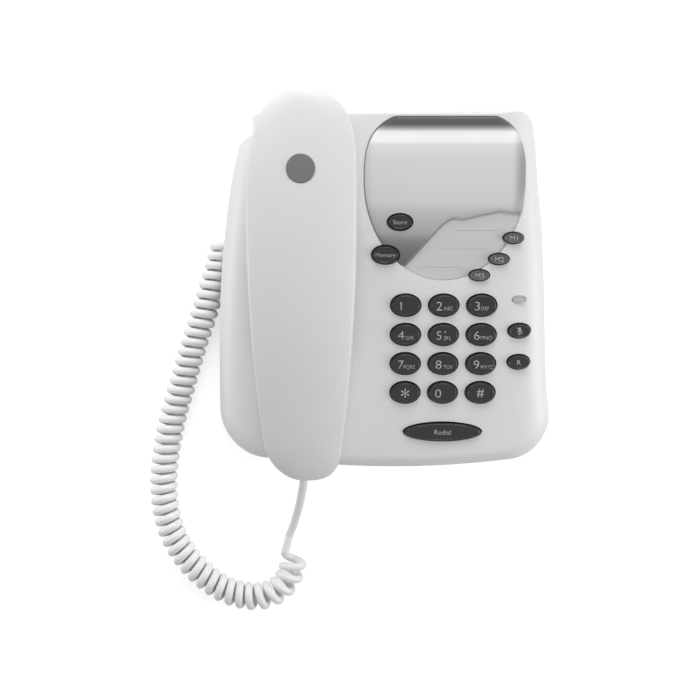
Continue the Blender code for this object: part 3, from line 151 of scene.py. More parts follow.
FACE_SLOPE = math.radians(10.5)
FACE_HEIGHT = 0.0397
HANDSET_X = -0.0438
HANDSET_FRONT_V = -0.1004
HANDSET_PLUG_W = 0.0079
HANDSET_PLUG_IN = 0.0042


def through(points, per_span):
    """Points of a smooth curve through the given ones."""
    ends = [Vector(point) for point in points]
    ends = [2 * ends[0] - ends[1], *ends, 2 * ends[-1] - ends[-2]]
    found = []
    for a, b, c, d in zip(ends, ends[1:], ends[2:], ends[3:]):
        for step in range(per_span):
            t = step / per_span
            found.append(0.5 * ((2 * b) + (c - a) * t + (2 * a - 5 * b + 4 * c - d) * t * t
                                + (3 * b - a - 3 * c + d) * t ** 3))
    return [*found, ends[-2]]


def ease(share):
    share = min(1.0, max(0.0, share))
    return share * share * (3 - 2 * share)


def curl_line():
    """The cord's centreline through its curls, from the plug in the base to the start of the tail."""
    middle = through(COIL_ROUTE, 24)
    run, runs = 0.0, [0.0]
    for before, after in zip(middle, middle[1:]):
        run += (after - before).length
        runs.append(run)
    last = len(middle) - 1
    aim = [(middle[min(i + 1, last)] - middle[max(i - 1, 0)]).normalized() for i in range(last + 1)]
    rates = []
    for i in range(last + 1):
        bend = 0.0
        if 0 < i < last:
            bend = aim[i - 1].angle(aim[i + 1], 0.0) / (runs[i + 1] - runs[i - 1])
        pitch = max(COIL_PITCH, COIL_LEAST_PITCH / (1 - min(0.5, bend * COIL_RADIUS)))
        rates.append(math.tau / pitch * ease((runs[-1] - COIL_STRAIGHT - runs[i]) / COIL_EASE))
    total, phases = 0.0, [0.0]
    for i in range(1, last + 1):
        total += 0.5 * (rates[i] + rates[i - 1]) * (runs[i] - runs[i - 1])
        phases.append(total)
    turns = round(total / math.tau - 0.75) + 0.75
    phases = [phase * turns * math.tau / total for phase in phases]

    def wire_at(i, t):
        spot = middle[i].lerp(middle[i + 1], t)
        ahead = aim[i].lerp(aim[i + 1], t).normalized()
        angle = 0.5 * math.pi + phases[i] + (phases[i + 1] - phases[i]) * t
        out = COIL_RADIUS * math.cos(angle)
        return Vector((spot.x - ahead.y * out, spot.y + ahead.x * out,
                       COIL_CENTRE_Z + COIL_RADIUS * math.sin(angle)))

    wire, i = [], 0
    for step in range(round(turns * COIL_STEPS)):
        phase = math.tau * step / COIL_STEPS
        while phases[i + 1] < phase:
            i += 1
        wire.append(wire_at(i, (phase - phases[i]) / (phases[i + 1] - phases[i])))
    reached = runs[i]
    for step in range(1, 13):
        run = reached + (runs[-1] - reached) * step / 12
        while i < last - 1 and runs[i + 1] < run:
            i += 1
        wire.append(wire_at(i, (run - runs[i]) / (runs[i + 1] - runs[i])))
    return wire


plug_low, plug_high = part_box("base_cord_plug")
cord_exit = Vector((plug_low.x + CORD_IN_PLUG, 0.5 * (plug_low.y + plug_high.y),
                    0.5 * (plug_low.z + plug_high.z)))
slope = Vector((0.0, math.cos(FACE_SLOPE), math.sin(FACE_SLOPE)))
normal = Vector((0.0, -math.sin(FACE_SLOPE), math.cos(FACE_SLOPE)))
cord_end = (Vector((HANDSET_X, 0.0, FACE_HEIGHT)) + normal * HANDSET_PLUG_W
            + slope * (HANDSET_FRONT_V + HANDSET_PLUG_IN + CORD_IN_PLUG))
curls = curl_line()
ahead = (curls[-1] - curls[-2]).normalized()
lead_in = [cord_exit, *(cord_exit.lerp(curls[0], share) for share in (0.35, 0.70))]
tail = through([curls[-1], curls[-1] + ahead * TAIL_START, *TAIL_BENDS, cord_end - slope * TAIL_LEAD,
                cord_end], 8)
cord_line = [*lead_in, *curls, *tail[1:]]


def wire_curve(name, points, diameter, sides):
    """A poly curve with a round section, made a mesh with its ends closed."""
    bpy.ops.object.select_all(action="DESELECT")
    bpy.ops.curve.primitive_nurbs_path_add()
    piece = bpy.context.object
    piece.name = name
    piece.data.splines.clear()
    spline = piece.data.splines.new("POLY")
    spline.points.add(len(points) - 1)
    for spot, point in zip(spline.points, points):
        spot.co = (*point, 1.0)
    piece.data.dimensions = "3D"
    piece.data.bevel_depth = 0.5 * diameter
    piece.data.bevel_resolution = (sides - 4) // 2
    piece.data.use_fill_caps = True
    bpy.ops.object.convert(target="MESH")
    bpy.ops.object.transform_apply(location=True, rotation=True, scale=True)
    bpy.ops.object.shade_smooth_by_angle(angle=math.radians(50))
    return piece


handset_cord = wire_curve("handset_cord", cord_line, CORD_ROUND, CORD_SIDES)
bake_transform(handset_cord)
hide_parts("cord_curls", "cord_tail")


def moulded_skin():
    """Node group for moulded plastic: a fine spark-eroded grain for the bump and uneven gloss."""
    group = bpy.data.node_groups.new("moulded_skin", "ShaderNodeTree")
    for label, kind, value in (("Grain Scale", "NodeSocketFloat", 900.0), ("Gloss", "NodeSocketFloat", 0.38),
                               ("Unevenness", "NodeSocketFloat", 0.05)):
        group.interface.new_socket(label, in_out="INPUT", socket_type=kind).default_value = value
    for label in ("Height", "Roughness", "Patina"):
        group.interface.new_socket(label, in_out="OUTPUT", socket_type="NodeSocketFloat")
    nodes, links = group.nodes, group.links
    given, out = nodes.new("NodeGroupInput"), nodes.new("NodeGroupOutput")
    where = nodes.new("ShaderNodeTexCoord")
    grain = nodes.new("ShaderNodeTexNoise")
    grain.inputs["Detail"].default_value = 3.0
    links.new(where.outputs["Object"], grain.inputs["Vector"])
    links.new(given.outputs["Grain Scale"], grain.inputs["Scale"])
    links.new(grain.outputs["Fac"], out.inputs["Height"])
    cloud = nodes.new("ShaderNodeTexNoise")
    cloud.inputs["Scale"].default_value = 24.0
    cloud.inputs["Detail"].default_value = 4.0
    links.new(where.outputs["Object"], cloud.inputs["Vector"])
    links.new(cloud.outputs["Fac"], out.inputs["Patina"])
    centred = nodes.new("ShaderNodeMath")
    centred.operation = "SUBTRACT"
    centred.inputs[1].default_value = 0.5
    links.new(cloud.outputs["Fac"], centred.inputs[0])
    swing = nodes.new("ShaderNodeMath")
    swing.operation = "MULTIPLY_ADD"
    links.new(centred.outputs[0], swing.inputs[0])
    links.new(given.outputs["Unevenness"], swing.inputs[1])
    links.new(given.outputs["Gloss"], swing.inputs[2])
    links.new(swing.outputs[0], out.inputs["Roughness"])
    return group


SKIN = moulded_skin()


def plastic(name, light, dark, gloss, unevenness=0.06, grain=900.0, bump=0.03, **sockets):
    """A plastic whose colour drifts a little between two values, with the shared skin's grain and gloss."""
    made = bpy.data.materials.new(name)
    made.use_nodes = True
    nodes, links = made.node_tree.nodes, made.node_tree.links
    shader = nodes["Principled BSDF"]
    skin = nodes.new("ShaderNodeGroup")
    skin.node_tree = SKIN
    skin.inputs["Grain Scale"].default_value = grain
    skin.inputs["Gloss"].default_value = gloss
    skin.inputs["Unevenness"].default_value = unevenness
    tint = nodes.new("ShaderNodeMix")
    tint.data_type = "RGBA"
    tint.inputs[6].default_value = (*dark, 1)
    tint.inputs[7].default_value = (*light, 1)
    links.new(skin.outputs["Patina"], tint.inputs[0])
    links.new(tint.outputs[2], shader.inputs["Base Color"])
    links.new(skin.outputs["Roughness"], shader.inputs["Roughness"])
    relief = nodes.new("ShaderNodeBump")
    relief.inputs["Strength"].default_value = bump
    relief.inputs["Distance"].default_value = 0.0002
    links.new(skin.outputs["Height"], relief.inputs["Height"])
    links.new(relief.outputs[0], shader.inputs["Normal"])
    for socket, value in sockets.items():
        shader.inputs[socket.replace("_", " ")].default_value = value
    return made


def coat(piece, finish):
    """Gives a piece one finish all over."""
    piece.data.materials.clear()
    piece.data.materials.append(finish)


CORD_VINYL = plastic("cord_vinyl", (0.90, 0.90, 0.90), (0.87, 0.87, 0.87), 0.38, grain=500.0, bump=0.02)
coat(handset_cord, CORD_VINYL)

# The top housing is one white ABS moulding with a sloped face, round shoulders and a plumb wall down to the
# parting line. The face is pierced for the keys and recessed for the panel, the card and the handset's caps.
HALF_WIDTH = 0.0904
BACK_Y = 0.0932
FRONT_Y = 0.0951
RIGHT_SIDE_IN = ((0.0932, 0.0126), (0.060, 0.0098), (0.030, 0.0064), (-0.020, 0.0036), (-0.050, 0.0020))
LEFT_SIDE_IN = ((0.0932, 0.0170), (0.065, 0.0095), (0.035, 0.0046), (-0.004, 0.0011), (-0.050, 0.0))
SIDE_FULL_Y = -0.067
CORNERS = (0.009, 0.010, 0.023, 0.0205)
SHOULDER = {"left": 0.024, "right": 0.021, "front": 0.007, "back": 0.003}
DROP = {"left": 0.016, "right": 0.012, "front": 0.008, "back": 0.004}
FULLNESS = 2.2
WALL = 0.0025
FACE_WALL = 0.0030
PARTING_Z = 0.008
PARTING_GAP = 0.00015
CAP_FIT = 0.001
WELL_DEPTH = 0.009
CAP_SQUARENESS = 2.3
CAPS = {"ear": (0.0233, 0.0213, 0.064), "mouth": (0.0200, 0.0195, -0.064)}
SHIELD = {"x": 0.0308, "v": 0.0585, "half": 0.0424, "low": 0.0525, "high": 0.0359, "top": 0.0328}
DIAL_KEYS = ("1", "2", "3", "4", "5", "6", "7", "8", "9", "star", "0", "hash")
KEYS = {name: (0.0309 + (i % 3 - 1) * 0.0202, -0.0074 - (i // 3) * 0.0158, 0.0081, 0.0060)
        for i, name in enumerate(DIAL_KEYS)}
ONE_TOUCH_KEYS = ("m1", "m2", "m3")
KEY_FIT = 0.0004
LENS_FIT = 0.0003
KEYS.update({
    "redial": (0.0311, -0.0765, 0.0212, 0.0052),
    "store": (0.0073, 0.0368, 0.0067, 0.0044),
    "memory": (-0.0002, 0.0195, 0.0074, 0.0050),
    "m1": (0.0671, 0.0283, 0.0055, 0.0030),
    "m2": (0.0597, 0.0172, 0.0055, 0.0030),
    "m3": (0.0495, 0.0086, 0.0055, 0.0030),
    "mute": (0.0714, -0.0212, 0.0062, 0.0040),
    "recall": (0.0714, -0.0381, 0.0062, 0.0040),
})
LENS = (0.0712, -0.0044, 0.0038, 0.0018)
HOOK_V = 0.056
HOOK_HOLE = 0.0034
CORD_JACK_Y = 0.0265
PLUG_HOLE_HALF = 0.0042
PLUG_FIT = 0.00035
BACK_ROW_Z = 0.0165
JACK_X = 0.034
JACK_HALF = (0.0064, 0.0051)
SLIDERS = {"ringer_switch": 0.006, "dial_mode_switch": -0.014}
SLOT_HALF = (0.0054, 0.0018)
WHITE_ABS = plastic("white_abs", (0.83, 0.83, 0.83), (0.80, 0.80, 0.80), 0.40)


def face_z(y):
    return FACE_HEIGHT + y * math.tan(FACE_SLOPE)


def side_x(insets, y):
    """Half-width of one side at y, read smoothly from its insets."""
    table = [*insets, (SIDE_FULL_Y, 0.0), (2 * SIDE_FULL_Y, 0.0)]
    table.insert(0, (2 * table[0][0] - table[1][0], 2 * table[0][1] - table[1][1]))
    y = max(SIDE_FULL_Y, min(y, table[1][0]))
    for before, start, end, after in zip(table, table[1:], table[2:], table[3:]):
        if y >= end[0]:
            break
    t = (start[0] - y) / (start[0] - end[0])
    slope_in = (end[1] - before[1]) / (before[0] - end[0]) * (start[0] - end[0])
    slope_out = (after[1] - start[1]) / (start[0] - after[0]) * (start[0] - end[0])
    inset = ((2 * t ** 3 - 3 * t ** 2 + 1) * start[1] + (t ** 3 - 2 * t ** 2 + t) * slope_in
             + (3 * t ** 2 - 2 * t ** 3) * end[1] + (t ** 3 - t ** 2) * slope_out)
    return HALF_WIDTH - inset


def base_plan(left_in, right_in, front_in, back_in, corner_in, fine=3):
    """The base's plan drawn in at each side: (x, y, drop) all round, anticlockwise from above."""
    back = BACK_Y - back_in
    points = []

    def right(y):
        return side_x(RIGHT_SIDE_IN, y) - right_in

    def left(y):
        return left_in - side_x(LEFT_SIDE_IN, y)

    def front(x):
        return front_in - FRONT_Y + 0.0036 * ((x - 0.005) / 0.060) ** 2

    def corner(start, middle, end, drop_start, drop_end):
        steps = 4 * fine + 1
        for i in range(steps):
            t = i / (steps - 1)
            shares = ((1 - t) ** 2, 2 * math.sqrt(0.5) * t * (1 - t), t * t)
            x, y = (sum(share * point[axis] for share, point in zip(shares, (start, middle, end)))
                    / sum(shares) for axis in (0, 1))
            points.append((x, y, drop_start + (drop_end - drop_start) * ease(t)))

    def side(place, first, last, steps, drop):
        for i in range(1, steps * fine):
            points.append((*place(first + (last - first) * i / (steps * fine)), drop))

    radii = [max(0.3 * radius, radius - corner_in) for radius in CORNERS]
    right_x, left_x = right(back), left(back)
    low_left, low_right = left(-FRONT_Y), right(-FRONT_Y)
    left_end, right_end = front(low_left) + radii[2], front(low_right) + radii[3]
    corner((right_x, back - radii[0]), (right_x, back), (right_x - radii[0], back),
           DROP["right"], DROP["back"])
    side(lambda x: (x, back), right_x - radii[0], left_x + radii[1], 5, DROP["back"])
    corner((left_x + radii[1], back), (left_x, back), (left(back - radii[1]), back - radii[1]),
           DROP["back"], DROP["left"])
    side(lambda y: (left(y), y), back - radii[1], left_end, 9, DROP["left"])
    corner((left(left_end), left_end), (low_left, front(low_left)),
           (low_left + radii[2], front(low_left + radii[2])), DROP["left"], DROP["front"])
    side(lambda x: (x, front(x)), low_left + radii[2], low_right - radii[3], 7, DROP["front"])
    corner((low_right - radii[3], front(low_right - radii[3])), (low_right, front(low_right)),
           (right(right_end), right_end), DROP["front"], DROP["right"])
    side(lambda y: (right(y), y), right_end, back - radii[0], 8, DROP["right"])
    return points


def only(piece):
    """Makes a piece the one that operators act on."""
    bpy.ops.object.select_all(action="DESELECT")
    piece.select_set(True)
    bpy.context.view_layer.objects.active = piece


def drawn_up(name, rings, smooth=35):
    """A closed body: a ring of points, extruded once for each further ring, and filled at both ends."""
    bpy.ops.object.select_all(action="DESELECT")
    bpy.ops.mesh.primitive_circle_add(vertices=len(rings[0]), fill_type="NGON")
    piece = bpy.context.object
    piece.name = name
    bpy.ops.object.mode_set(mode="EDIT")
    shape = bmesh.from_edit_mesh(piece.data)
    place = shape.verts.layers.int.new("place")
    for i, vert in enumerate(shape.verts):
        vert[place] = i
        vert.co = rings[0][i]
        vert.select = True
    shape.select_flush(True)
    bmesh.update_edit_mesh(piece.data)
    for ring in rings[1:]:
        bpy.ops.mesh.extrude_region_move()
        shape = bmesh.from_edit_mesh(piece.data)
        place = shape.verts.layers.int["place"]
        for vert in shape.verts:
            if vert.select:
                vert.co = ring[vert[place]]
        bmesh.update_edit_mesh(piece.data)
    bpy.ops.mesh.select_all(action="SELECT")
    bpy.ops.mesh.remove_doubles(threshold=1e-7)
    bpy.ops.mesh.normals_make_consistent(inside=False)
    bpy.ops.object.mode_set(mode="OBJECT")
    piece.data.attributes.remove(piece.data.attributes["place"])
    bpy.ops.object.shade_smooth_by_angle(angle=math.radians(smooth))
    return piece


def on_face(piece, at=(0.0, 0.0), tip=0.0):
    """Moves a piece from the face's own frame, where the third axis leaves the face, to its place."""
    only(piece)
    place = (Matrix.Translation((0, 0, FACE_HEIGHT)) @ Matrix.Rotation(FACE_SLOPE, 4, "X")
             @ Matrix.Translation((*at, 0.0)) @ Matrix.Rotation(tip, 4, "X"))
    piece.matrix_world = place @ piece.matrix_world
    bpy.ops.object.transform_apply(location=True, rotation=True, scale=True)
    return piece


def oval(x, v, half_x, half_v, sides=48, squareness=2.0):
    points = []
    for i in range(sides):
        across, along = math.cos(math.tau * i / sides), math.sin(math.tau * i / sides)
        points.append((x + half_x * math.copysign(abs(across) ** (2 / squareness), across),
                       v + half_v * math.copysign(abs(along) ** (2 / squareness), along)))
    return points


def slab(name, outline, low, high):
    return drawn_up(name, [[(x, y, low) for x, y in outline], [(x, y, high) for x, y in outline]])


def block(name, low, high):
    corners = ((low[0], low[1]), (high[0], low[1]), (high[0], high[1]), (low[0], high[1]))
    return slab(name, corners, low[2], high[2])


def joined(pieces):
    bpy.ops.object.select_all(action="DESELECT")
    for piece in pieces:
        piece.select_set(True)
    bpy.context.view_layer.objects.active = pieces[0]
    bpy.ops.object.join()
    return pieces[0]


def carve(piece, cutters, operation="DIFFERENCE", smooth=30):
    """Cuts a piece with cutters that don't meet each other."""
    cutter = joined(cutters)
    only(piece)
    bpy.ops.object.modifier_add(type="BOOLEAN")
    change = piece.modifiers[-1]
    change.operation = operation
    change.solver = "EXACT"
    change.object = cutter
    bpy.ops.object.modifier_apply(modifier=change.name)
    bpy.data.objects.remove(cutter)
    only(piece)
    bpy.ops.object.shade_smooth_by_angle(angle=math.radians(smooth))
    return piece


def shoulder_rings(wall, lid, low_z, steps, fine):
    outer = base_plan(wall, wall, wall, wall, wall, fine)
    inner = base_plan(SHOULDER["left"], SHOULDER["right"], SHOULDER["front"] + wall, SHOULDER["back"] + wall,
                      SHOULDER["right"], fine)
    lid_z = lid / math.cos(FACE_SLOPE)
    rings = [[(x, y, low_z) for x, y, _ in outer]]
    for step in range(steps):
        angle = 0.5 * math.pi * step / (steps - 1)
        out = max(0.0, math.cos(angle)) ** (2 / FULLNESS)
        up = math.sin(angle) ** (2 / FULLNESS)
        ring = []
        for (x_out, y_out, drop), (x_in, y_in, _) in zip(outer, inner):
            x = x_in + (x_out - x_in) * out
            y = y_in + (y_out - y_in) * out
            ring.append((x, y, face_z(y) - lid_z - drop * (1 - up)))
        rings.append(ring)
    return rings


def shield_point(angle, grow=0.0):
    across, along = math.cos(angle), math.sin(angle)
    if along < 0:
        return (SHIELD["x"] + (SHIELD["half"] + grow) * across, SHIELD["v"] + (SHIELD["low"] + grow) * along)
    x = (SHIELD["half"] + grow) * math.copysign(abs(across) ** (2 / 3.0), across)
    v = (SHIELD["high"] + grow) * along ** (2 / 3.0)
    return (SHIELD["x"] + x, SHIELD["v"] + min(v, SHIELD["top"] + grow))


def shield_arc(start, end, steps, grow=0.0):
    return [shield_point(start + (end - start) * i / steps, grow) for i in range(steps + 1)]


def niche(margin):
    return block("niche", (-0.12, -0.014 - margin, -0.01), (-0.0810 + margin, 0.034 + margin, 0.018 + margin))


def scoop(margin):
    outline = ((-0.12, 0.0775 - margin), (-0.0765 + 0.4 * margin, 0.0775 - margin),
               (-0.0700 + margin, 0.0815 - 0.4 * margin), (-0.0700 + margin, 0.12), (-0.12, 0.12))
    return slab("scoop", outline, -0.01, 0.12)


def cap_well(name, margin, depth):
    half_x, half_v, centre = CAPS[name]
    outline = oval(HANDSET_X, centre, half_x + margin, half_v + margin, 64, CAP_SQUARENESS)
    return on_face(slab(name + "_well", outline, -depth, 0.03))


def back_hole(name, x, half_x, half_z):
    """An opening through the back wall, in the row of the jack and the switches."""
    return block(name, (x - half_x, BACK_Y - 2 * WALL, BACK_ROW_Z - half_z),
                 (x + half_x, BACK_Y + 0.003, BACK_ROW_Z + half_z))


housing = drawn_up("top_housing", shoulder_rings(0.0, 0.0, PARTING_Z + PARTING_GAP, 15, 3))
cavity = drawn_up("housing_cavity", shoulder_rings(WALL, FACE_WALL, 0.0, 6, 1))
carve(cavity, [*(cap_well(name, CAP_FIT + WALL, WELL_DEPTH + WALL) for name in CAPS), niche(WALL),
               scoop(WALL)])
carve(housing, [cavity])
panel_seat = slab("panel_seat", shield_arc(0.0, math.tau, 144, 0.0003)[:-1], -0.0015, 0.02)
carve(housing, [*(cap_well(name, CAP_FIT, WELL_DEPTH) for name in CAPS), niche(0.0), scoop(0.0),
                on_face(panel_seat)])
holes = [on_face(slab("hole_" + name, oval(x, v, half_x + KEY_FIT, half_v + KEY_FIT), -0.009, 0.02))
         for name, (x, v, half_x, half_v) in KEYS.items()]
lens_room = oval(LENS[0], LENS[1], LENS[2] + LENS_FIT, LENS[3] + LENS_FIT, 32)
holes.append(on_face(slab("lens_hole", lens_room, -0.009, 0.02)))
holes.append(on_face(slab("hook_hole", oval(HANDSET_X, HOOK_V, HOOK_HOLE, HOOK_HOLE, 32), -0.02, 0.0)))
holes.append(block("plug_hole", (-HALF_WIDTH, CORD_JACK_Y - PLUG_HOLE_HALF, plug_low.z - PLUG_FIT),
                   (-0.0760, CORD_JACK_Y + PLUG_HOLE_HALF, plug_high.z + PLUG_FIT)))
holes.append(back_hole("line_jack_hole", JACK_X, *JACK_HALF))
for name, x in SLIDERS.items():
    holes.append(back_hole(name + "_slot", x, *SLOT_HALF))
carve(housing, holes)
coat(housing, WHITE_ABS)
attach(housing, "base")
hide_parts("base_top_housing")

# The bottom housing is a shallow white ABS tray that four screws pull up against the top one. Black rubber
# feet are glued in its recesses, and the screws sit in counterbores.
FEET = {"front_left": (-0.0684, -0.0771), "front_right": (0.0564, -0.0771),
        "back_left": (-0.0584, 0.0772), "back_right": (0.0424, 0.0732)}
SCREWS = {"front_left": (-0.0775, -0.060), "front_right": (0.0735, -0.070),
          "back_left": (-0.0740, 0.0440), "back_right": (0.0655, 0.0800)}
BOSS_RADIUS = 0.0043
BORE_RADIUS = 0.0030
FOOT_ROOM = 0.0063
SLOT_PITCH = 0.0032


def tray_ring(inset, z):
    return [(x, y, z) for x, y, _ in base_plan(inset, inset, inset, inset, inset)]


tray_steps = ((0.0025, 0.0020), (0.0019, 0.0021), (0.0013, 0.0026), (0.0010, 0.0035),
              (0.0, PARTING_Z - PARTING_GAP))
tray = drawn_up("bottom_housing", [tray_ring(inset, z) for inset, z in tray_steps])
room_in_tray = drawn_up("tray_room", [tray_ring(0.0050, 0.0045), tray_ring(0.0025, 0.0105)])
bosses = [slab("boss", oval(x, y, BOSS_RADIUS, BOSS_RADIUS, 24), 0.0, 0.013) for x, y in SCREWS.values()]
carve(room_in_tray, [niche(WALL), scoop(WALL), *bosses])
carve(tray, [room_in_tray])
bores = [slab("bore", oval(x, y, BORE_RADIUS, BORE_RADIUS, 24), 0.0, 0.0050) for x, y in SCREWS.values()]
bores += [slab("foot_recess", oval(x, y, FOOT_ROOM, FOOT_ROOM, 40), 0.0, 0.0025) for x, y in FEET.values()]
sounder_low, sounder_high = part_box("ringer_sounder")
sounder_x, sounder_y = 0.5 * (sounder_low.x + sounder_high.x), 0.5 * (sounder_low.y + sounder_high.y)
slots = []
for i in range(-3, 4):
    outline = oval(sounder_x + i * SLOT_PITCH, sounder_y, 0.0007, 0.0080 - 0.0011 * abs(i), 24, 3.0)
    slots.append(slab("slot", outline, 0.0, 0.0060))
carve(tray, [niche(0.0), scoop(0.0), *bores, *slots])
coat(tray, WHITE_ABS)
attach(tray, "base")
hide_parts("base_bottom_housing")

FOOT_RUBBER = plastic("foot_rubber", (0.060, 0.060, 0.060), (0.035, 0.035, 0.036), 0.78,
                      grain=1400.0, bump=0.12)
for name, (x, y) in FEET.items():
    rings = [[(px, py, z) for px, py in oval(x, y, radius, radius, 40)]
             for radius, z in ((0.0048, 0.0), (0.0055, 0.0001), (0.0060, 0.0007), (0.0060, 0.0022))]
    foot = drawn_up("rubber_foot_" + name, rings, 50)
    coat(foot, FOOT_RUBBER)
    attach(foot, "base")
    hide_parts("foot_" + name)

# The silver panel is an ABS moulding, sprayed with aluminium lacquer and pressed into its seat. Its colour
# carries a painted reflection along it, dark at the top edge and bright below it, and painted shade at the
# tail and the right edge.
WAVE_EDGE = ((0.0271, 0.0335), (0.0318, 0.0376), (0.0361, 0.0391), (0.0398, 0.0385), (0.0492, 0.0407),
             (0.0597, 0.0428))
WAVE_LEFT = math.radians(-120.3)
WAVE_RIGHT = math.radians(-19.7)


def wave(shift_x=0.0, shift_v=0.0):
    """The edge where the panel meets the card, from left to right."""
    fine = through(WAVE_EDGE, 6)
    left, right = Vector(shield_point(WAVE_LEFT, -0.0003)), Vector(shield_point(WAVE_RIGHT, -0.0003))
    into = [left.lerp(fine[0], share / 8) for share in range(1, 8)]
    out = [fine[-1].lerp(right, share / 4) for share in range(1, 4)]
    return [(point[0] + shift_x, point[1] + shift_v) for point in [*into, *fine, *out]]


def panel_top(x, v, share):
    """Height of the panel at a point whose distance from the middle is a share of the edge's."""
    edge = min(1.0, (1 - share) / 0.10)
    rise = 0.0003 + 0.0007 * (1 - (1 - edge) ** 2)
    roll = 0.0002 * ease((v - 0.0820) / 0.0098) + 0.0006 * ease((x - 0.0675) / 0.006)
    return rise - roll


panel_edge = [*shield_arc(WAVE_RIGHT, WAVE_LEFT + math.tau, 120, -0.0003), *wave()]
MIDDLE = (SHIELD["x"], 0.0640)
shares = (1.0, 0.997, 0.985, 0.965, 0.94, 0.91, 0.87, 0.80, 0.70, 0.58, 0.44, 0.28, 0.12, 0.02)
rings = [[(x, v, -0.0012) for x, v in panel_edge], [(x, v, -0.0009) for x, v in panel_edge]]
for share in shares[1:]:
    ring = []
    for x, v in panel_edge:
        x, v = MIDDLE[0] + (x - MIDDLE[0]) * share, MIDDLE[1] + (v - MIDDLE[1]) * share
        ring.append((x, v, panel_top(x, v, share)))
    rings.append(ring)
panel = drawn_up("silver_panel", rings, 60)
for name in ("store", "memory"):
    x, v, half_x, half_v = KEYS[name]
    carve(panel, [slab("panel_hole", oval(x, v, half_x + KEY_FIT, half_v + KEY_FIT), -0.01, 0.01)], smooth=40)
on_face(panel)

SILVER_LACQUER_PAINTED_REFLECTION = plastic("silver_lacquer_painted_reflection", (1.0, 1.0, 1.0), (0.96, 0.96, 0.96), 0.36, 0.05, 2600.0, 0.05,
                         Metallic=0.30, Specular_IOR_Level=0.25)
nodes, links = SILVER_LACQUER_PAINTED_REFLECTION.node_tree.nodes, SILVER_LACQUER_PAINTED_REFLECTION.node_tree.links
shader = nodes["Principled BSDF"]
flake = shader.inputs["Base Color"].links[0].from_socket
where = nodes.new("ShaderNodeTexCoord")
flat = nodes.new("ShaderNodeMapping")
flat.vector_type = "TEXTURE"
flat.inputs["Location"].default_value = (0.0, 0.0, FACE_HEIGHT)
flat.inputs["Rotation"].default_value = (FACE_SLOPE, 0.0, 0.0)
links.new(where.outputs["Object"], flat.inputs["Vector"])
axes = nodes.new("ShaderNodeSeparateXYZ")
links.new(flat.outputs[0], axes.inputs[0])
along = nodes.new("ShaderNodeMapRange")
along.inputs["From Min"].default_value = 0.0060
along.inputs["From Max"].default_value = 0.0915
links.new(axes.outputs["Y"], along.inputs["Value"])
# Painted reflection and painted shade: a grey ramp along the panel, dark at the top edge, white below it,
# falling to painted shade at the tail.
painted_reflection_bands = nodes.new("ShaderNodeValToRGB")
painted_reflection_bands.color_ramp.interpolation = "LINEAR"
for spot, grey in ((0.0, 0.14), (0.150, 0.165), (0.200, 0.19), (0.250, 0.26), (0.295, 0.41), (0.423, 0.55),
                   (0.478, 0.66), (0.614, 0.70), (0.737, 0.71), (0.828, 0.80), (0.850, 1.0), (0.885, 1.0),
                   (0.905, 0.92), (0.918, 0.60), (0.932, 0.30), (0.950, 0.115), (1.0, 0.10)):
    stops = painted_reflection_bands.color_ramp.elements
    stop = stops[0] if spot == 0.0 else stops[-1] if spot == 1.0 else stops.new(spot)
    stop.color = (grey, grey, grey, 1)
links.new(along.outputs["Result"], painted_reflection_bands.inputs["Fac"])
# Painted shade: the panel's colour darkens towards its right edge, where the panel rolls down.
right_roll_painted_shade = nodes.new("ShaderNodeMapRange")
right_roll_painted_shade.interpolation_type = "SMOOTHSTEP"
right_roll_painted_shade.inputs["From Min"].default_value = 0.0650
right_roll_painted_shade.inputs["From Max"].default_value = 0.0725
right_roll_painted_shade.inputs["To Min"].default_value = 1.0
right_roll_painted_shade.inputs["To Max"].default_value = 0.36
links.new(axes.outputs["X"], right_roll_painted_shade.inputs["Value"])
shade = nodes.new("ShaderNodeVectorMath")
shade.operation = "SCALE"
links.new(painted_reflection_bands.outputs["Color"], shade.inputs[0])
links.new(right_roll_painted_shade.outputs["Result"], shade.inputs["Scale"])
mixed = nodes.new("ShaderNodeVectorMath")
mixed.operation = "MULTIPLY"
links.new(shade.outputs[0], mixed.inputs[0])
links.new(flake, mixed.inputs[1])
links.new(mixed.outputs[0], shader.inputs["Base Color"])
coat(panel, SILVER_LACQUER_PAINTED_REFLECTION)
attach(panel, "base")
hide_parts("silver_fascia")

# The memory card is grey-white paper with three dotted lines for names, under a thin clear styrene window.
# Both are notched round the one-touch keys.
def card_plan(shrink):
    arc = shield_arc(WAVE_LEFT + math.radians(1.2), WAVE_RIGHT - math.radians(1.2), 72, -shrink)
    return [*arc, *reversed(wave(0.0005, -0.0010))]


def notches():
    rooms = [oval(x, v, half_x + KEY_FIT, half_v + KEY_FIT)
             for x, v, half_x, half_v in (KEYS[name] for name in ONE_TOUCH_KEYS)]
    return [slab("notch", room, -0.01, 0.01) for room in rooms]


CARD_PAPER = plastic("card_paper", (0.66, 0.66, 0.655), (0.62, 0.62, 0.615), 0.75, 0.10, 2200.0, 0.10)
INK = plastic("printed_ink", (0.06, 0.06, 0.06), (0.05, 0.05, 0.05), 0.65)
card = carve(slab("paper_card", card_plan(0.0006), -0.0012, -0.0009), notches())
on_face(card)
coat(card, CARD_PAPER)
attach(card, "base")
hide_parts("memory_card")
DOT_PITCH = 0.0011
dots = []
for v, first, last in ((0.0322, 0.0366, 0.0605), (0.0224, 0.0297, 0.0530), (0.0127, 0.0185, 0.0411)):
    for i in range(int((last - first) / DOT_PITCH)):
        x = first + i * DOT_PITCH
        dots.append(slab("dot", oval(x, v, 0.00030, 0.00018, 8), -0.00091, -0.00086))
dots = on_face(joined(dots))
dots.name = "card_lines"
coat(dots, INK)
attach(dots, "base")
window = slab("card_window", card_plan(0.0003), -0.0008, -0.0002)
only(window)
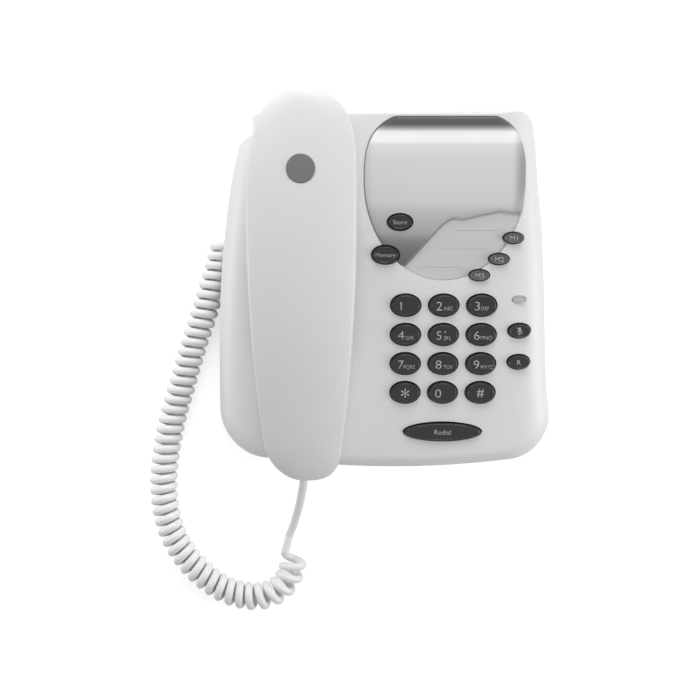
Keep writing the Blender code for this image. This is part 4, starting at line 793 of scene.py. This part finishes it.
bpy.ops.object.modifier_add(type="BEVEL")
window.modifiers[-1].width = 0.0002
window.modifiers[-1].segments = 2
window.modifiers[-1].limit_method = "ANGLE"
bpy.ops.object.modifier_apply(modifier=window.modifiers[-1].name)
carve(window, notches())
on_face(window)
CLEAR_STYRENE = plastic("clear_styrene", (0.93, 0.94, 0.95), (0.90, 0.91, 0.92), 0.08, 0.03, 300.0, 0.02,
                        Alpha=0.14, Coat_Weight=0.5)
coat(window, CLEAR_STYRENE)
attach(window, "base")
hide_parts("card_cover")

# The keys are charcoal ABS caps with a flange below the housing and a flat top in a rounded rim. Their
# legends are pad-printed in light grey: digits with their letters to the right, and words on the others.
CHARCOAL = plastic("charcoal_abs", (0.014, 0.014, 0.015), (0.010, 0.010, 0.011), 0.26, 0.06, 1200.0, 0.05,
                   Specular_IOR_Level=0.30, Coat_Weight=0.35)
ONE_TOUCH = plastic("one_touch_abs", (0.085, 0.085, 0.087), (0.070, 0.070, 0.072), 0.28, 0.06, 1200.0, 0.05,
                    Coat_Weight=0.35)
LEGEND_GREY = plastic("legend_grey", (0.50, 0.50, 0.50), (0.46, 0.46, 0.46), 0.55)
KEY_GAP = 0.0004
KEY_BROW = 0.0008
KEY_BEAD = 0.0022
KEY_TOP = 0.0020
KEY_FLANGE = 0.0014
FLAT_SHARE = 0.80
BEAD_SHARE = 0.88


def crown_height(rho):
    """Height of a key at a share of the way from its middle to its side: a flat top in a rounded rim."""
    if rho > BEAD_SHARE:
        past = (min(1.0, rho) - BEAD_SHARE) / 0.12
        return KEY_BROW + (KEY_BEAD - KEY_BROW) * math.sqrt(max(0.0, 1 - past ** 2))
    return KEY_TOP + (KEY_BEAD - KEY_TOP) * ease((rho - FLAT_SHARE) / 0.08)


for name, (x, v, half_x, half_v) in KEYS.items():
    half_x, half_v = half_x - KEY_GAP, half_v - KEY_GAP
    rings = []
    for grow, height in ((KEY_FLANGE, -0.0045), (KEY_FLANGE, -0.0033), (0.0, -0.0033)):
        rings.append([(px, pv, height) for px, pv in oval(x, v, half_x + grow, half_v + grow, 56)])
    for rho in (1.0, 0.997, 0.99, 0.975, 0.95, 0.92, 0.90, 0.88, 0.86, 0.84, 0.82, 0.80, 0.40, 0.03):
        rings.append([(px, pv, crown_height(rho)) for px, pv in oval(x, v, half_x * rho, half_v * rho, 56)])
    key = on_face(drawn_up("cap_" + name, rings, 50))
    coat(key, ONE_TOUCH if name in ONE_TOUCH_KEYS else CHARCOAL)
    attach(key, "key_" + name)
    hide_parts("key_" + name)


def printed(words, height, centre, stretch=1.0, weight=0.0):
    """A word as a flat mesh of one capital's height, centred in the face's frame."""
    bpy.ops.object.select_all(action="DESELECT")
    bpy.ops.object.text_add()
    text = bpy.context.object
    text.data.body = words
    text.data.size = height / 0.70
    text.data.offset = weight
    text.data.resolution_u = 4
    bpy.ops.object.convert(target="MESH")
    across = [vert.co.x for vert in text.data.vertices]
    up = [vert.co.y for vert in text.data.vertices]
    base = 0.0 if words[0].isalnum() else 0.5 * (min(up) + max(up)) - 0.5 * height
    for vert in text.data.vertices:
        vert.co.x = centre[0] + (vert.co.x - 0.5 * (min(across) + max(across))) * stretch
        vert.co.y = centre[1] + vert.co.y - base - 0.5 * height
    return text


def legend(name, parts):
    """Lays the printed parts of one key on its crown, as a skin of ink."""
    print_ = joined(parts)
    print_.name = "legend_" + name
    x, v, half_x, half_v = KEYS[name]
    for vert in print_.data.vertices:
        rho = math.hypot((vert.co.x - x) / half_x, (vert.co.y - v) / half_v)
        vert.co.z = crown_height(rho) + 0.00004
    only(print_)
    bpy.ops.object.modifier_add(type="SOLIDIFY")
    print_.modifiers[-1].thickness = 0.00003
    print_.modifiers[-1].offset = 1.0
    bpy.ops.object.modifier_apply(modifier=print_.modifiers[-1].name)
    on_face(print_)
    coat(print_, LEGEND_GREY)
    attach(print_, "key_" + name)


LETTERS = {"2": ("ABC", 0.0024, 0.90), "3": ("DEF", 0.0016, 0.90), "4": ("GHI", 0.0019, 0.90),
           "5": ("JKL", 0.0021, 0.90), "6": ("MNO", 0.0026, 0.90), "7": ("PQRS", 0.0021, 0.90),
           "8": ("TUV", 0.0026, 0.90), "9": ("WXYZ", 0.0029, 0.76)}
WORDS = {"redial": ("Redial", 0.0026), "store": ("Store", 0.0023), "memory": ("Memory", 0.0021),
         "m1": ("M1", 0.0027), "m2": ("M2", 0.0027), "m3": ("M3", 0.0027), "recall": ("R", 0.0027)}
SIGNS = {"star": ("*", 0.0078), "hash": ("#", 0.0046)}
for name in DIAL_KEYS:
    x, v = KEYS[name][:2]
    if name in SIGNS:
        legend(name, [printed(*SIGNS[name], (x, v))])
        continue
    parts = [printed(name, 0.0047, (x - 0.0025, v - 0.0002), 1.12, -0.00006)]
    if name in LETTERS:
        words, shift, stretch = LETTERS[name]
        parts.append(printed(words, 0.0021, (x + shift, v - 0.0015), stretch, -0.00003))
    legend(name, parts)
for name, (words, height) in WORDS.items():
    legend(name, [printed(words, height, KEYS[name][:2], 1.04, -0.00001)])

# The handset is two white ABS shells screwed together along a parting line, narrow at the mouth and arched
# under the grip. Its ear and mouth caps, pierced for sound, stand in the two wells of the cradle.
HANDSET_BACK_V = 0.1028
EAR_HALF = 0.0284
MOUTH_HALF = 0.0210
EDGE_ROUND = 0.0024
DOME = 0.0055
ENDS = {1: (0.062, 2.75, 3.7), -1: (0.039, 2.75, 2.15)}
MOUTH_END_V = -0.079
PLUG_WIDTH = 0.0077
PLUG_HEIGHT = 0.0065
ARC = tuple(math.radians(angle) for angle in (0, 8, 17, 26, 35, 44, 52, 60, 67))


def half_width(v, side):
    """Half-width of the handset's plan at v, to the right (1) or left (-1) of its axis."""
    ear_start, ear_square, mouth_square = ENDS[side]
    half = EAR_HALF - (EAR_HALF - MOUTH_HALF) * max(0.0, (0.040 - v) / 0.119) ** 2
    for start, end, square in ((ear_start, HANDSET_BACK_V, ear_square),
                               (MOUTH_END_V, HANDSET_FRONT_V, mouth_square)):
        past = (v - start) / (end - start)
        if past > 0:
            half *= max(0.0, 1 - min(1.0, past) ** square) ** (1 / square)
    return max(0.0004, half)


def underside(v):
    return 0.0010 + 0.0080 * ease((0.041 - abs(v)) / 0.021)


def rim(v):
    return 0.0205 - 0.0085 * (v / HANDSET_BACK_V) ** 2


def parting(v):
    return underside(v) + 0.42 * (rim(v) - underside(v))


def crown(v):
    return rim(v) + DOME * half_width(v, -1) / EAR_HALF


def lean(v):
    return math.tan(FACE_SLOPE) * ease((v - 0.070) / (HANDSET_BACK_V - 0.070))


def shell_ring(v, upper):
    """One closed section of a shell: its outside from right to left, then its flat joint."""
    sides = {}
    for side in (1, -1):
        half = half_width(v, side)
        scale = min(1.0, half / 0.012)
        if upper:
            edge = EDGE_ROUND * scale
            low = parting(v) + PARTING_GAP
            points = [(half - 0.0002 * scale, low), (half, low + 0.0002), (half, 0.5 * (low + rim(v) - edge))]
            points += [(half - edge + edge * math.cos(a), rim(v) - edge + edge * math.sin(a)) for a in ARC]
            shoulder, height = points[-1]
            rise = crown(v) - height
            points += [(shoulder * share, height + rise * (1 - share * share))
                       for share in (0.93, 0.84, 0.73, 0.6, 0.45, 0.3, 0.15)]
        else:
            top = parting(v) - PARTING_GAP
            low = underside(v)
            lift = min(0.0034, 0.8 * (top - low)) * scale
            points = [(half - 0.0002 * scale, top), (half, top - 0.0002), (half, 0.5 * (top + low + lift))]
            for step in range(9):
                t = step / 8
                points.append((half - 0.0070 * scale * t * t, low + lift * (1 - t) ** 2))
            points += [(points[-1][0] * share, low) for share in (0.75, 0.5, 0.25)]
        sides[side] = points
    middle = crown(v) if upper else underside(v)
    section = [*sides[1], (0.0, middle), *((-x, w) for x, w in reversed(sides[-1]))]
    return [(HANDSET_X + x, v + lean(v) * w, w) for x, w in section]


def stations():
    back = [HANDSET_BACK_V - 0.0408 * (1 - math.sin(0.5 * math.pi * i / 22)) for i in range(1, 23)]
    front = [HANDSET_FRONT_V + 0.0214 * (1 - math.sin(0.5 * math.pi * i / 18)) for i in range(18, 0, -1)]
    return [*front, *(MOUTH_END_V + 0.141 * i / 72 for i in range(73)), *back]


def plug_room():
    half_x, half_w = 0.5 * PLUG_WIDTH + PLUG_FIT, 0.5 * PLUG_HEIGHT + PLUG_FIT
    low = (HANDSET_X - half_x, HANDSET_FRONT_V - 0.01, HANDSET_PLUG_W - half_w)
    high = (HANDSET_X + half_x, HANDSET_FRONT_V + 0.0130, HANDSET_PLUG_W + half_w)
    return on_face(block("plug_room", low, high))


def cap_body(name):
    half_x, half_v, centre = CAPS[name]
    rings = []
    for share, height in ((0.90, -0.0087), (0.935, -0.0086), (0.965, -0.0081), (0.985, -0.0074),
                          (1.0, -0.0062), (1.0, 0.0028)):
        outline = oval(HANDSET_X, centre, half_x * share, half_v * share, 72, CAP_SQUARENESS)
        rings.append([(x, v, height) for x, v in outline])
    return on_face(drawn_up(name + "_cap_body", rings))


outer_shell = on_face(drawn_up("handset_top_shell", [shell_ring(v, True) for v in stations()], 55))
carve(outer_shell, [plug_room()], smooth=55)
BADGE_V = 0.0655
BADGE_SEAT = 0.0074
badge_tilt = math.atan((crown(BADGE_V + 0.001) - crown(BADGE_V - 0.001)) / 0.002)
badge_base = Vector((HANDSET_X, BADGE_V, crown(BADGE_V)))


def on_crown(piece):
    """Moves a piece from the badge's own frame to the handset's crown."""
    only(piece)
    piece.matrix_world = (Matrix.Translation((0, 0, FACE_HEIGHT)) @ Matrix.Rotation(FACE_SLOPE, 4, "X")
                          @ Matrix.Translation(badge_base) @ Matrix.Rotation(badge_tilt, 4, "X"))
    bpy.ops.object.transform_apply(location=True, rotation=True, scale=True)
    return piece


carve(outer_shell, [on_crown(slab("badge_seat", oval(0, 0, BADGE_SEAT, BADGE_SEAT, 64), -0.0011, 0.01))],
      smooth=55)
# Painted shade: the handset's plastic is the base's white ABS made darker, standing for the shade on its
# crown.
HANDSET_ABS_PAINTED_SHADE = plastic("handset_abs_painted_shade", (0.775, 0.775, 0.775), (0.745, 0.745, 0.745), 0.38)
coat(outer_shell, HANDSET_ABS_PAINTED_SHADE)
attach(outer_shell, "handset")
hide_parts("handset_outer_shell")

inner_shell = on_face(drawn_up("handset_under_shell", [shell_ring(v, False) for v in stations()], 45))
carve(inner_shell, [plug_room()], smooth=45)
carve(inner_shell, [cap_body("ear"), cap_body("mouth")], "UNION", 40)
sound_holes = [(0.0, 0.0)]
for radius, count in ((0.0033, 6), (0.0066, 12)):
    sound_holes += [(radius * math.cos(math.tau * i / count), radius * math.sin(math.tau * i / count))
                    for i in range(count)]
pierced = [slab("hole", oval(HANDSET_X + x, CAPS["ear"][2] + v, 0.0009, 0.0009, 12), -0.02, -0.0062)
           for x, v in sound_holes]
pierced += [slab("hole", oval(HANDSET_X + x, CAPS["mouth"][2], 0.0006, 0.0028, 16), -0.02, -0.0062)
            for x in (-0.0034, 0.0, 0.0034)]
pierced += [slab("hole", oval(HANDSET_X, v, 0.0030, 0.0030, 24), -0.02, underside(v) + 0.0016)
            for v in (0.031, -0.032)]
carve(inner_shell, [on_face(hole) for hole in pierced], smooth=40)
coat(inner_shell, HANDSET_ABS_PAINTED_SHADE)
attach(inner_shell, "handset")
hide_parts("handset_inner_shell")

# The badge is a plain round disc of dark lacquered ABS, slightly domed, glued in its seat on the crown.
rings = [[(x, y, z) for x, y in oval(0, 0, radius, radius, 72)]
         for radius, z in ((0.0072, -0.0008), (0.0072, 0.0002), (0.00715, 0.0003), (0.0070, 0.00037),
                           (0.0067, 0.0004), (0.0045, 0.00044), (0.0020, 0.00046), (0.0002, 0.00047))]
badge = on_crown(drawn_up("round_badge", rings, 50))
BADGE_LACQUER = plastic("badge_lacquer", (0.190, 0.190, 0.192), (0.150, 0.150, 0.152), 0.28, 0.05, 1800.0,
                        0.03, Metallic=0.2)
coat(badge, BADGE_LACQUER)
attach(badge, "handset")
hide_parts("handset_badge")

# The lamp's lens is a small milky polycarbonate window with a raised rim, pushed in from below.
x, v, half_x, half_v = LENS
rings = [[(px, pv, z) for px, pv in oval(x, v, half_x * share, half_v * share, 48)]
         for share, z in ((1.0, -0.0030), (1.0, 0.0004), (0.97, 0.0006), (0.90, 0.0007), (0.82, 0.0006),
                          (0.76, 0.0003), (0.60, 0.00042), (0.40, 0.0005), (0.20, 0.00054), (0.03, 0.00055))]
lens = on_face(drawn_up("status_lens", rings, 50))
MILKY = plastic("milky_polycarbonate", (0.56, 0.56, 0.56), (0.52, 0.52, 0.52), 0.22, 0.04, 700.0, 0.02,
                Coat_Weight=0.3)
coat(lens, MILKY)
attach(lens, "base")
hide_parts("lamp_lens")

# The mute key carries a small crossed microphone instead of a word. The 5 has a raised nib for the finger.
def stroke(start, end, width):
    """A flat bar between two points of the face."""
    along = (Vector(end) - Vector(start)).normalized() * 0.5 * width
    across = Vector((-along.y, along.x))
    a, b = Vector(start), Vector(end)
    corners = [a + across, a - across, b - across, b + across]
    return slab("bar", [(p.x, p.y) for p in corners], 0.0, 0.00003)


STROKE = 0.00026
x, v = KEYS["mute"][:2]
v = v + 0.0002
cradle = [(x + 0.00125 * math.cos(math.radians(a)), v + 0.0003 + 0.0013 * math.sin(math.radians(a)))
          for a in range(180, 361, 20)]
icon = [slab("capsule", oval(x, v + 0.0008, 0.00060, 0.00120, 24, 2.6), 0.0, 0.00003)]
icon += [stroke(a, b, STROKE) for a, b in zip(cradle, cradle[1:])]
for start, end in (((0.0, -0.0010), (0.0, -0.0019)), ((-0.0008, -0.0019), (0.0008, -0.0019)),
                   ((-0.0016, 0.0019), (0.0016, -0.0017))):
    icon.append(stroke((x + start[0], v + start[1]), (x + end[0], v + end[1]), STROKE))
for part in icon:
    for vert in part.data.vertices:
        vert.co.z += KEY_TOP + 0.00002
mute_icon = on_face(joined(icon))
mute_icon.name = "legend_mute"
coat(mute_icon, LEGEND_GREY)
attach(mute_icon, "key_mute")

x, v = KEYS["5"][:2]
rings = [[(px, pv, z) for px, pv in oval(x + 0.0008, v + 0.0017, radius, radius, 24)]
         for radius, z in ((0.00042, 0.0018), (0.00042, 0.0022), (0.00036, 0.00234), (0.00022, 0.00242),
                           (0.00003, 0.00244))]
nib = on_face(drawn_up("key_5_nib", rings, 60))
coat(nib, LEGEND_GREY)
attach(nib, "key_5")

# In the back wall are the line inlet, a black modular jack with four gilt contacts, and two black slide
# switches with ribbed knobs: ringer loudness and dialling mode.
BLACK_ABS = plastic("black_abs", (0.030, 0.030, 0.031), (0.020, 0.020, 0.021), 0.45, 0.08, 1000.0, 0.06)
GILT = plastic("gilt_contact", (0.80, 0.56, 0.22), (0.72, 0.50, 0.20), 0.25, 0.05, 900.0, 0.01,
               Metallic=1.0)
CONTACT_PITCH = 0.00127
CONTACT_ROUND = 0.0005
GROOVE_PITCH = 0.0009
for contact in range(4):
    x = JACK_X + (contact - 1.5) * CONTACT_PITCH
    line = [(x, 0.0860, 0.0195), (x, 0.0880, 0.0190), (x, 0.0905, 0.0176), (x, 0.0915, 0.0172)]
    wire = wire_curve("line_contact_%d" % contact, through(line, 4), CONTACT_ROUND, 8)
    coat(wire, GILT)
    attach(wire, "base")
for name, x in SLIDERS.items():
    low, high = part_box(name)
    knob = block("knob_" + name, (x - 0.0020, BACK_Y - 0.0035, BACK_ROW_Z - 0.0014),
                 (x + 0.0020, high.y, BACK_ROW_Z + 0.0014))
    grooves = [block("groove", (x + step * GROOVE_PITCH - 0.0002, high.y - 0.0004, 0.0140),
                     (x + step * GROOVE_PITCH + 0.0002, high.y + 0.001, 0.0190))
               for step in (-1.5, -0.5, 0.5, 1.5)]
    carve(knob, grooves)
    coat(knob, BLACK_ABS)
    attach(knob, name)
    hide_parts(name)

# The parts that the telephone holds inside, and its plugs, screws and jacks, keep their CAD shape. Each gets
# the finish of the real one: zinc, solder mask, rubber, clear and black plastic.
ZINC = plastic("zinc_plate", (0.62, 0.62, 0.63), (0.52, 0.52, 0.54), 0.32, 0.15, 600.0, 0.05, Metallic=1.0)
SOLDER_MASK = plastic("solder_mask", (0.035, 0.22, 0.10), (0.020, 0.14, 0.06), 0.35, 0.10, 420.0, 0.10)
KEYPAD_RUBBER = plastic("keypad_rubber", (0.10, 0.10, 0.10), (0.07, 0.07, 0.07), 0.80, 0.08, 1400.0, 0.10)
CLEAR_PLUG = plastic("clear_plug", (0.88, 0.90, 0.90), (0.82, 0.84, 0.84), 0.12, 0.05, 300.0, 0.02,
                     Alpha=0.45)
FINISHES = {
    ZINC: ("base_screw_front_left", "base_screw_front_right", "base_screw_back_left", "base_screw_back_right",
           "handset_screw_upper", "handset_screw_lower", "hook_spring", "base_weight", "handset_weight"),
    SOLDER_MASK: ("main_circuit_board",),
    KEYPAD_RUBBER: ("keypad_membrane",),
    CLEAR_PLUG: ("base_cord_plug", "handset_cord_plug"),
    MILKY: ("lamp",),
    WHITE_ABS: ("hook_plunger",),
    BLACK_ABS: ("hook_switch", "line_jack", "ringer_switch", "dial_mode_switch", "ringer_sounder",
                "ear_speaker", "microphone", "base_cord_jack", "handset_cord_jack"),
}
for finish, names in FINISHES.items():
    for name in names:
        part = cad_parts[name]
        coat(part, finish)
